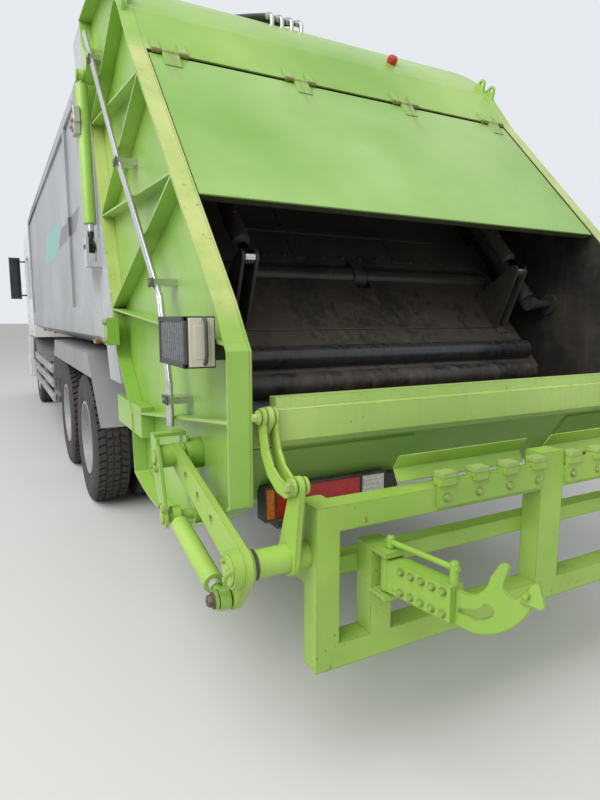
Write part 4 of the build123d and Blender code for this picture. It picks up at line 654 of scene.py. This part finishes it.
def dirt_inside(tree, place, shown):
    """Dried dirt on the wall and roof faces that look into the hopper."""
    shown = sun_faded(tree, place, shown)
    narrow = spread(tree, off_middle(tree, place), 1.1155, 1.1165, 1.0, 0.0)
    way, distance = from_axis(tree, place, roof_centre)
    outwards = along(tree, way, facing_way(tree))
    outer = times(tree, spread(tree, outwards, 0.05, 0.1),
                  spread(tree, distance, roof_radius - 0.04, roof_radius - 0.035))
    dirty = times(tree, narrow, outer, "SUBTRACT")
    clods = spread(tree, grain(tree, place, 5.0, 8.0, 0.7), 0.4, 0.65)
    return blended(tree, dirty, shown, blended(tree, clods, (0.016, 0.017, 0.017), (0.050, 0.044, 0.036)))


lime_side = weathered("lime_side", (0.235, 0.465, 0.045), 0.28, dust=0.2, streaks=0.12,
                      pale=(0.35, 0.535, 0.115), edge_wear=0.3, rust=0.3, marks=sun_faded)
lime_shell = weathered("lime_shell", (0.225, 0.445, 0.045), 0.28, dust=0.2, streaks=0.12,
                       pale=(0.33, 0.515, 0.105), edge_wear=0.3, rust=0.3, marks=dirt_inside)
dress(lime_side, "tailgate_ribs")
dress(lime_shell, "tailgate_shell")

# Red plastic cap of a beacon's socket, pressed on near the roof's rear corner,
# right of the middle.
cap_red = weathered("cap_red", (0.45, 0.03, 0.02), 0.4, dust=0.3)
work = bmesh.new()
turned(work, (-3.855, -0.45, 3.04), (-0.65, 0, 0.76),
       ((0.028, 0), (0.032, 0.012), (0.030, 0.034), (0.020, 0.044), (0.006, 0.047)), 24)
finish_piece("roof_cap", work, cap_red, "tailgate")

# Lock bracket bolts: four steel heads, painted over and rusty at the edges, on
# each bracket that clamps the tailgate to the body.
work = bmesh.new()
for sign in (1, -1):
    for x in (-3.598, -3.540):
        for z in (1.375, 1.475):
            add_nut(work, (x, sign * 1.255, z), (0, sign, 0), 0.026, x + z)
nut_worn = weathered("nut_worn", (0.30, 0.36, 0.12), 0.5, dust=0.5, rust=0.9, edge_wear=0.8)
finish_piece("lock_bracket_bolts", work, nut_worn, "tailgate")

# Rear cover: a folded lime sheet, its lime a little paler and bluer than the sides' as a painted sky
# reflection. Rust has run from its four hinges, its inner face is dirty, and the inner part of its
# lower edge is painted dark as painted shade.
cover_line = (-4.140, 0, 2.700)
cover_down = Vector((-0.6727, 0, -0.7399))
cover_in = Vector((0.7399, 0, -0.6727))
cover_hinge_y = (-1.010, -0.337, 0.337, 1.010)


def cover_marks(tree, place, shown):
    """Rust runs below the hinges, dirt on the inner face and painted shade on the inner part of its lower
    edge.
    """
    apart = wire(tree, "ShaderNodeVectorMath", {0: place, 1: cover_line}, operation="SUBTRACT").outputs[0]
    down = along(tree, apart, cover_down)
    inward = along(tree, apart, cover_in)
    y = part_of(tree, place, 1)
    near = 0.0
    for hinge_y in cover_hinge_y:
        off = wire(tree, "ShaderNodeMath", {0: y, 1: hinge_y}, operation="SUBTRACT").outputs[0]
        off = wire(tree, "ShaderNodeMath", {0: off}, operation="ABSOLUTE").outputs[0]
        near = times(tree, spread(tree, off, 0.01, 0.05, 1.0, 0.0), near, "ADD")
    long_place = wire(tree, "ShaderNodeMapping", {"Vector": place, "Scale": (1.0, 16.0, 1.0)}).outputs[0]
    runs = spread(tree, grain(tree, long_place, 3.0, 5.0, 0.6), 0.42, 0.66)
    stain = times(tree, times(tree, near, runs), spread(tree, down, 0.0, 0.30, 0.85, 0.0))
    shown = blended(tree, stain, shown, (0.22, 0.13, 0.05))
    # Dark colour past 10 mm in from the outer face: dirt on the inner face, painted shade on the lower edge.
    return blended(tree, spread(tree, inward, 0.009, 0.011), shown, (0.035, 0.040, 0.022))


# The lid's lime is a paler, bluer copy of the sides' paint: a painted reflection of the sky.
lime_lid_sky_sheen = weathered("lime_lid_sky_sheen", (0.225, 0.445, 0.062), 0.30, dust=0.10, streaks=0.08,
                     pale=(0.32, 0.505, 0.15), edge_wear=0.25, marks=cover_marks)
dress(lime_lid_sky_sheen, "hopper_cover")


def knuckle_rust(tree, place, shown):
    """Rust on the hinges' knuckles, with the leaves left in the roof's paint."""
    axis = Vector(cover_line) + cover_down * 0.015 - cover_in * 0.0065
    distance = from_axis(tree, place, axis)[1]
    rusty = blended(tree, spread(tree, grain(tree, place, 60.0, 5.0), 0.4, 0.6), (0.17, 0.25, 0.05),
                    (0.20, 0.10, 0.04))
    return blended(tree, spread(tree, distance, 0.012, 0.014, 1.0, 0.0), shown, rusty)


hinge_lime = weathered("hinge_lime", (0.225, 0.445, 0.062), 0.35, dust=0.2, rust=0.7, edge_wear=0.5,
                       pale=(0.30, 0.48, 0.13), marks=knuckle_rust)
dress(hinge_lime, "cover_hinges")

# Hopper trough: rolled sheet, scoured and caked inside by what is thrown in,
# and lime outside.
hopper_middle = (-4.45, 0, 1.75)


def scoured_inside(tree, place, shown):
    """Bare caked steel on the faces towards the middle of the hopper."""
    outward = along(tree, from_axis(tree, place, hopper_middle)[0], facing_way(tree))
    caked = blended(tree, spread(tree, grain(tree, place, 6.0, 8.0, 0.7), 0.4, 0.62), (0.05, 0.045, 0.042),
                    (0.13, 0.105, 0.075))
    return blended(tree, spread(tree, outward, -0.02, 0.0, 1.0, 0.0), shown, caked)


trough_skin = weathered("trough_skin", (0.19, 0.39, 0.045), 0.4, dust=0.5, rust=0.6, streaks=0.2,
                        pale=(0.24, 0.43, 0.08), marks=scoured_inside)
dress(trough_skin, "hopper_trough")

# Hopper lip: a box beam welded from plate, in paler lime paint, with chips of
# rust. At each end it carries the pin of the lifter's link, with a nut.
lime_lip = weathered("lime_lip", (0.325, 0.53, 0.09), 0.38, dust=0.3, rust=0.9, streaks=0.2,
                     pale=(0.43, 0.61, 0.16), edge_wear=0.6)
dress(lime_lip, "hopper_lip")
work = bmesh.new()
link_pin_x, link_pin_z = -5.310, 1.195
for sign in (1, -1):
    turned(work, (link_pin_x, sign * 1.0988, link_pin_z), (0, sign, 0),
           ((0.024, 0), (0.024, 0.004), (0.021, 0.006)), 24)
    add_nut(work, (link_pin_x, sign * 1.1045, link_pin_z), (0, sign, 0), 0.030, 0.2)
finish_piece("link_pin_nuts", work, lime_lip, "tailgate")

# Packer slide: a black steel plate, grey-brown with dust, with two flat wear
# strips welded up its face and a row of bolts above the blade's hinge.


def packer_spot(up, y, out):
    """A point given along the slide, across, and square to the slide, in metres."""
    lean = math.radians(47.7)
    return Vector((-4.180 + up * math.cos(lean) - out * math.sin(lean), y,
                   1.720 + up * math.sin(lean) + out * math.cos(lean)))


packer_black = weathered("packer_black", (0.030, 0.031, 0.033), 0.42, dust=0.9, rust=0.7, streaks=0.45,
                         pale=(0.085, 0.078, 0.066), dust_tint=(0.15, 0.115, 0.085))
dress(packer_black, "packer_slide", "blade_cylinder_barrels", "slide_cylinder_barrels")
worn_steel = weathered("worn_steel", (0.12, 0.085, 0.06), 0.5, dust=0.5, rust=0.9, metal=0.6)
slide_out_way = packer_spot(0, 0, 1) - packer_spot(0, 0, 0)


def slanted_bar(work, up, y, out):
    """A bar with faces along and square to the slide, between pairs of limits."""
    corners = [work.verts.new(packer_spot(u, v, w)) for u in up for v in y for w in out]
    for face in ((0, 1, 3, 2), (4, 6, 7, 5), (0, 4, 5, 1), (2, 3, 7, 6), (0, 2, 6, 4), (1, 5, 7, 3)):
        work.faces.new([corners[index] for index in face])


work = bmesh.new()
for y in (-0.33, 0.33):
    slanted_bar(work, (0.10, 0.92), (y - 0.03, y + 0.03), (0.030, 0.038))
slanted_bar(work, (0.30, 0.35), (-0.70, 0.70), (0.030, 0.040))
soften(finish_piece("slide_wear_strips", work, packer_black, "packer_slide"), 0.003)
work = bmesh.new()
for bolt in range(12):
    spot = packer_spot(0.12, -0.66 + bolt * 0.12, 0.030)
    add_nut(work, spot, slide_out_way, 0.024, bolt * 0.3)
finish_piece("slide_bolts", work, worn_steel, "packer_slide")

# Packer blade: black plate under brown dust, welded to two round tubes that the
# refuse keeps glossy black, with rough welds above them.
edge_tube = packer_spot(-0.700, 0, 0)


def tube_clean(tree, place, shown):
    """Glossy black where the refuse rubs the edge tube."""
    distance = from_axis(tree, place, edge_tube)[1]
    scraped = blended(tree, spread(tree, grain(tree, place, 9.0, 6.0), 0.5, 0.75), (0.010, 0.012, 0.014),
                      (0.05, 0.05, 0.048))
    return blended(tree, spread(tree, distance, 0.060, 0.063, 1.0, 0.0), shown, scraped)


blade_paint = weathered("blade_paint", (0.024, 0.025, 0.026), 0.38, dust=0.75, rust=0.9, streaks=0.5,
                        pale=(0.060, 0.053, 0.044), dust_tint=(0.17, 0.125, 0.085), marks=tube_clean)
dress(blade_paint, "packer_blade")
tube_black = weathered("tube_black", (0.012, 0.014, 0.017), 0.22, dust=0.25, pale=(0.025, 0.027, 0.030))
work = bmesh.new()
turned(work, packer_spot(-0.575, -0.890, 0.040), (0, 1, 0),
       ((0.050, 0), (0.054, 0.004), (0.054, 1.776), (0.050, 1.780)), 48)
finish_piece("blade_upper_tube", work, tube_black, "packer_blade")
work = bmesh.new()
for y in (-0.860, 0.785):
    slanted_bar(work, (-0.44, -0.40), (y, y + 0.075), (0.025, 0.033))
slanted_bar(work, (-0.400, -0.392), (-0.78, 0.78), (0.025, 0.031))
soften(finish_piece("blade_welds", work, worn_steel, "packer_blade"), 0.002)
chrome = weathered("chrome", (0.62, 0.62, 0.63), 0.12, dust=0.25, metal=1.0)
dress(chrome, "slide_cylinder_rods", "blade_cylinder_rods")

# Feed pipes of the blade's cylinders: black steel pipe along each barrel, held
# by a union at both ends.
blade_pipe_y = 0.82
blade_pipe_route = ((0.84, 0.330), (0.84, 0.355), (0.78, 0.366), (0.02, 0.375), (0.02, 0.345))
for side, sign in sides:
    line = [packer_spot(up, sign * blade_pipe_y, out) for up, out in blade_pipe_route]
    bent_tube(f"{side}_blade_pipe", line, 0.008, trim_black, "blade_barrels")
    work = bmesh.new()
    for spot in (line[0], line[-1]):
        turned(work, spot, slide_out_way, ((0.016, -0.012), (0.016, 0.010), (0.013, 0.016)), 6)
    finish_piece(f"{side}_blade_pipe_unions", work, worn_steel, "blade_barrels")

# Lift cylinders of the tailgate: lime barrels with chromed rods, a valve block
# on the barrel and a black dust seal round the eye at the foot.
dress(lime_side, "gate_cylinder_barrels")


def gate_marks(tree, place, shown):
    """Black grease and dust round the rod's eye."""
    z = part_of(tree, place, 2)
    grease = blended(tree, spread(tree, grain(tree, place, 30.0, 6.0), 0.4, 0.6), (0.02, 0.02, 0.02),
                     (0.09, 0.08, 0.07))
    return blended(tree, spread(tree, z, 2.02, 2.03, 1.0, 0.0), shown, grease)


gate_chrome = weathered("gate_chrome", (0.55, 0.55, 0.56), 0.16, dust=0.3, metal=0.7, marks=gate_marks)
dress(gate_chrome, "gate_cylinder_rods")
valve_zinc = weathered("valve_zinc", (0.46, 0.46, 0.40), 0.4, dust=0.5, rust=0.4, metal=0.5)
gate_pin = Vector((-3.020, 0, 2.950))
gate_down = Vector((-0.0976, 0, -0.9952))
gate_eye_x, gate_eye_z = -3.120, 1.930
block_middle = gate_pin + gate_down * 0.28
block_faces = (1.264, 1.304)


def block_span(middle, back, front):
    """The limits of a block that reaches so far to each side of its middle."""
    return middle - back, middle + front


for side, sign in sides:
    out = (0, sign, 0)
    x, z = block_middle.x, block_middle.z
    work = bmesh.new()
    side_block(work, sign, block_span(x, 0.044, 0.040), block_faces, block_span(z, 0.080, 0.080))
    side_block(work, sign, block_span(x, 0.056, 0.050), block_faces, block_span(z, 0.015, 0.015))
    soften(finish_piece(f"{side}_valve_block", work, valve_zinc, "gate_barrels"), 0.004)
    work = bmesh.new()
    for rise in (-0.055, 0.0, 0.055):
        add_nut(work, (x - 0.018, sign * block_faces[1], z + rise), out, 0.022, rise * 9)
    turned(work, (x + 0.020, sign * 1.300, z - 0.03), out, ((0.014, 0), (0.014, 0.014), (0.010, 0.019)), 18)
    finish_piece(f"{side}_valve_caps", work, nut_steel, "gate_barrels")
    work = bmesh.new()
    turned(work, (gate_eye_x, sign * 1.2585, gate_eye_z), out,
           ((0.040, 0), (0.042, 0.004), (0.038, 0.010), (0.024, 0.013)), 28)
    add_nut(work, (gate_eye_x, sign * 1.270, gate_eye_z), out, 0.030, 0.1)
    finish_piece(f"{side}_gate_eye_seal", work, trim_black, "gate_rods")

# Twin pipes down each side of the tailgate: zinc plated steel tube in black
# clamps, each with a bolt.
pipe_zinc = weathered("pipe_zinc", (0.58, 0.58, 0.57), 0.22, dust=0.2, metal=0.8)
dress(pipe_zinc, "hydraulic_pipes")
clamp_places = ((-3.252, 2.968), (-3.903, 2.258), (-4.5355, 1.6428), (-4.700, 1.180))
for side, sign in sides:
    work = bmesh.new()
    for x, z in clamp_places:
        side_block(work, sign, block_span(x, 0.028, 0.058), (1.2235, 1.2275), block_span(z, 0.018, 0.018))
    soften(finish_piece(f"{side}_pipe_clamps", work, trim_black, "tailgate"), 0.0015)
    work = bmesh.new()
    for x, z in clamp_places:
        add_nut(work, (x + 0.015, sign * 1.2270, z), (0, sign, 0), 0.018, z)
    finish_piece(f"{side}_clamp_bolts", work, nut_steel, "tailgate")

# Roof hoses: four black rubber hoses from the elbows over the roof's crest.
hose_black = weathered("hose_black", (0.018, 0.018, 0.020), 0.55, dust=0.5)
hose_route = ((-3.565, 0, 3.276), (-3.440, 0.015, 3.325), (-3.300, 0.080, 3.364), (-3.185, 0.155, 3.386),
              (-3.095, 0.250, 3.396), (-3.025, 0.345, 3.398))
hose_places = (0.240, 0.175, 0.110, 0.045)
hose_nut = ((0.017, -0.020), (0.021, -0.018), (0.021, 0.004), (0.018, 0.006))
nuts = bmesh.new()
for number, hose_y in enumerate(hose_places, start=1):
    line = [Vector((x, hose_y + across, z)) for x, across, z in hose_route]
    hose = bent_tube(f"rubber_roof_hose_{number}", line, 0.015, hose_black, "tailgate", 6)
    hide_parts(f"roof_hose_{number}")
    turned(nuts, line[0], line[1] - line[0], hose_nut, 6)
finish_piece("roof_hose_nuts", nuts, pipe_zinc, "tailgate")

# Tail lamps: a black housing with an amber, a long red and a ribbed clear lens in
# a thin frame. The plate that carries them is lime.


def lamp_plate(tree, place, shown):
    """Lime paint on the tail lamps' plate, between the side lamps."""
    plate = times(tree, spread(tree, off_middle(tree, place), 1.10, 1.11, 1.0, 0.0),
                  spread(tree, part_of(tree, place, 2), 0.9055, 0.9065))
    return blended(tree, plate, shown, (0.20, 0.38, 0.055))


lamp_housing = weathered("lamp_housing", (0.03, 0.03, 0.032), 0.6, dust=0.45, marks=lamp_plate)
dress(lamp_housing, "rear_lamps")
red_lens = clear_lens("red_lens", (0.60, 0.012, 0.010), 0.12, 0.15)
orange_lens = clear_lens("orange_lens", (0.85, 0.20, 0.02), 0.12, 0.15)
white_lens = clear_lens("white_lens", (0.80, 0.78, 0.74), 0.15, 0.15)
lamp_width = (0.515, 1.025)
lowest_rib, rib_pitch = 0.817, 0.016
frame_uprights = ((0.515, 0.522), (0.624, 0.632), (0.976, 0.984), (1.018, 1.025))
frame_bars = ((0.800, 0.808), (0.917, 0.925))
frame_depth = (-5.188, -5.176)
tail_lenses = (("clear", white_lens, (0.523, 0.623)), ("red", red_lens, (0.633, 0.975)),
               ("amber", orange_lens, (0.985, 1.017)))
for side, sign in sides:
    work = bmesh.new()
    side_block(work, sign, (-5.178, -5.120), lamp_width, (0.800, 0.925))
    for width in frame_uprights:
        side_block(work, sign, frame_depth, width, (0.802, 0.923))
    for tall in frame_bars:
        side_block(work, sign, frame_depth, lamp_width, tall)
    soften(finish_piece(f"{side}_lamp_frame", work, trim_black, "tailgate"), 0.003)
    for colour_name, lens, width in tail_lenses:
        work = bmesh.new()
        side_block(work, sign, (-5.184, -5.176), width, (0.809, 0.916))
        near, far = sorted((sign * width[0], sign * width[1]))
        for rib in range(6 if lens == white_lens else 0):
            z = lowest_rib + rib * rib_pitch
            add_block(work, (-5.187, near + 0.012, z), (-5.183, far - 0.004, z + 0.011))
        soften(finish_piece(f"{side}_{colour_name}_lens", work, lens, "tailgate"), 0.0015)

# Side lamps: a black frame with a grey lens that faces out, a cream back cover
# and a black guard rod behind it.
cream_plastic = weathered("cream_plastic", (0.56, 0.54, 0.42), 0.5, dust=0.4, streaks=0.2)
grey_lens = clear_lens("grey_lens", (0.16, 0.17, 0.18), 0.1, 0.1)
frame_sides = (((-5.200, -4.900), (1.345, 1.362)), ((-5.200, -4.900), (1.488, 1.505)),
               ((-5.200, -5.184), (1.345, 1.505)), ((-4.916, -4.900), (1.345, 1.505)))
guard_route = ((-5.200, 1.500), (-5.224, 1.498), (-5.224, 1.430), (-5.224, 1.362), (-5.200, 1.357))
for side, sign in sides:
    work = bmesh.new()
    side_block(work, sign, (-5.206, -5.199), (1.199, 1.281), (1.350, 1.500))
    side_block(work, sign, (-5.2075, -5.204), (1.214, 1.266), (1.372, 1.478))
    soften(finish_piece(f"{side}_side_lamp_back", work, cream_plastic, "tailgate"), 0.002)
    work = bmesh.new()
    for long, tall in frame_sides:
        side_block(work, sign, long, (1.284, 1.296), tall)
    soften(finish_piece(f"{side}_side_lamp_frame", work, trim_black, "tailgate"), 0.003)
    work = bmesh.new()
    side_block(work, sign, (-5.186, -4.914), (1.284, 1.290), (1.360, 1.490))
    for rib in range(12):
        x = -5.176 + rib * 0.0225
        side_block(work, sign, (x, x + 0.012), (1.289, 1.292), (1.364, 1.486))
    soften(finish_piece(f"{side}_side_lamp_lens", work, grey_lens, "tailgate"), 0.001)
    bent_tube(f"{side}_side_lamp_rod", [(x, sign * 1.232, z) for x, z in guard_route], 0.006, trim_black,
              "tailgate")

# Bin lifter: levers, frame, comb plates, links and cylinders in chalky lime
# paint with rust at the pins. Caps, nuts and keeper plates hold the pins.
lime_lifter = weathered("lime_lifter", (0.275, 0.485, 0.055), 0.42, dust=0.25, rust=0.8, streaks=0.10,
                        pale=(0.37, 0.565, 0.095), edge_wear=0.6)
dress(lime_lifter, "lifter_arms", "lifter_cylinder_barrels", "lifter_frame", "comb_plates", "lifter_links",
      "left_hook_arm", "right_hook_arm")
bolt_lime = weathered("bolt_lime", (0.26, 0.44, 0.07), 0.45, dust=0.4, rust=1.0, pale=(0.36, 0.50, 0.12),
                      edge_wear=1.0)


def rod_marks(tree, place, shown):
    """Lime paint on the rod's eye and its cap."""
    behind = spread(tree, part_of(tree, place, 0), -5.325, -5.322, 1.0, 0.0)
    return blended(tree, behind, shown, (0.27, 0.46, 0.085))


lift_chrome = weathered("lift_chrome", (0.55, 0.55, 0.56), 0.2, dust=0.3, metal=0.4, rust=0.5,
                        marks=rod_marks)
dress(lift_chrome, "lifter_cylinder_rods")
lever_eye_x, lever_eye_z = -5.450, 0.790
rod_pin_x, rod_pin_z = -5.375, 0.670
bracket_pins = ((-4.790, 0.980, 0.028), (-4.880, 0.770, 0.024))
keeper_places = ((-4.790, 0.938), (-4.880, 0.807))
for side, sign in sides:
    out = (0, sign, 0)
    work = bmesh.new()
    turned(work, (lever_eye_x, sign * 1.2575, lever_eye_z), out,
           ((0.046, 0), (0.046, 0.005), (0.042, 0.008), (0.020, 0.008), (0.018, 0.014), (0.006, 0.016)), 32)
    for bolt, spot in round_spots((lever_eye_x, sign * 1.2650, lever_eye_z), 0.032, 3, 0.4):
        add_nut(work, spot, out, 0.018, bolt * 0.4)
    finish_piece(f"{side}_lever_cap", work, lime_lifter, "lifter_arms")
    work = bmesh.new()
    for x, z, radius in bracket_pins:
        turned(work, (x, sign * 1.2975, z), out, ((radius, 0), (radius, 0.006), (radius * 0.85, 0.009)), 28)
    finish_piece(f"{side}_bracket_pin_ends", work, bolt_lime, "tailgate")
    plates, bolts = bmesh.new(), bmesh.new()
    for x, z in keeper_places:
        side_block(plates, sign, block_span(x, 0.040, 0.040), (1.2975, 1.3035), block_span(z, 0.009, 0.009))
        for shift in (-0.028, 0.028):
            add_nut(bolts, (x + shift, sign * 1.3030, z), out, 0.016, shift * 20)
    soften(finish_piece(f"{side}_keeper_plates", plates, lime_lifter, "tailgate"), 0.002)
    finish_piece(f"{side}_keeper_bolts", bolts, bolt_lime, "tailgate")
    work = bmesh.new()
    add_nut(work, (rod_pin_x, sign * 1.2808, rod_pin_z), out, 0.038, 0.3)
    turned(work, (rod_pin_x, sign * 1.2930, rod_pin_z), out, ((0.008, 0), (0.008, 0.006), (0.005, 0.008)), 14)
    finish_piece(f"{side}_rod_pin_nut", work, worn_steel, "lift_rods")
    work = bmesh.new()
    add_nut(work, (-5.510, sign * 1.0928, 1.025), out, 0.032, 0.5)
    finish_piece(f"{side}_crank_pin_nut", work, bolt_lime, "lifter_links")
    work = bmesh.new()
    turned(work, (lever_eye_x, sign * 1.1800, lever_eye_z), out,
           ((0.0425, 0), (0.0460, 0.001), (0.0460, 0.013), (0.0425, 0.014)), 32)
    finish_piece(f"{side}_tube_seal", work, trim_black, "lifter_frame")

# Comb: a rubber cap on each tooth, painted over with the plate, and under each a
# bolt through the plate.
pad_rubber = weathered("pad_rubber", (0.30, 0.47, 0.10), 0.6, dust=0.5, rust=0.6, edge_wear=1.0)
first_tooth, tooth_pitch = 0.097, 0.144
work = bmesh.new()
bolts = bmesh.new()
for sign in (1, -1):
    for tooth in range(4):
        y = sign * (first_tooth + tooth * tooth_pitch)
        add_block(work, (-5.5475, y - 0.0325, 0.984), (-5.4985, y + 0.0325, 1.005))
        add_nut(bolts, (-5.5335, y, 0.918), (-1, 0, 0), 0.024, tooth * 0.3)
soften(finish_piece("comb_pads", work, pad_rubber, "lifter_frame"), 0.004)
finish_piece("comb_bolts", bolts, bolt_lime, "lifter_frame")

# Hook arms: steel boxes with two rows of five bolts through each side, and a
# thin strut tube above, welded between two short posts.
hook_hinge_x, hook_hinge_y = -5.562, 0.775
hook_swing = math.radians(80)
for side, sign in sides:
    reach_way = Vector((-math.sin(hook_swing), -sign * math.cos(hook_swing), 0))
    side_way = Vector((-sign * reach_way.y, sign * reach_way.x, 0)).normalized()
    root = Vector((hook_hinge_x, sign * hook_hinge_y, 0))
    work = bmesh.new()
    for face in (1, -1):
        for step in range(5):
            for z in (0.694, 0.758):
                spot = root + reach_way * (0.070 + step * 0.038) + side_way * face * 0.0278
                add_nut(work, spot + Vector((0, 0, z)), side_way * face, 0.019, step * 0.3)
    finish_piece(f"{side}_hook_bolts", work, bolt_lime, f"{side}_hook")
    work = bmesh.new()
    for distance, low, high in ((0.0, 0.805, 0.842), (0.236, 0.776, 0.842)):
        turned(work, root + reach_way * distance + Vector((0, 0, low)), (0, 0, 1),
               ((0.013, 0), (0.013, high - low - 0.004), (0.010, high - low)), 20)
    finish_piece(f"{side}_hook_strut_posts", work, lime_lifter, f"{side}_hook")
    line = [root + reach_way * distance + Vector((0, 0, 0.823)) for distance in (-0.016, 0.06, 0.15, 0.252)]
    bent_tube(f"{side}_hook_strut", line, 0.009, lime_lifter, f"{side}_hook")
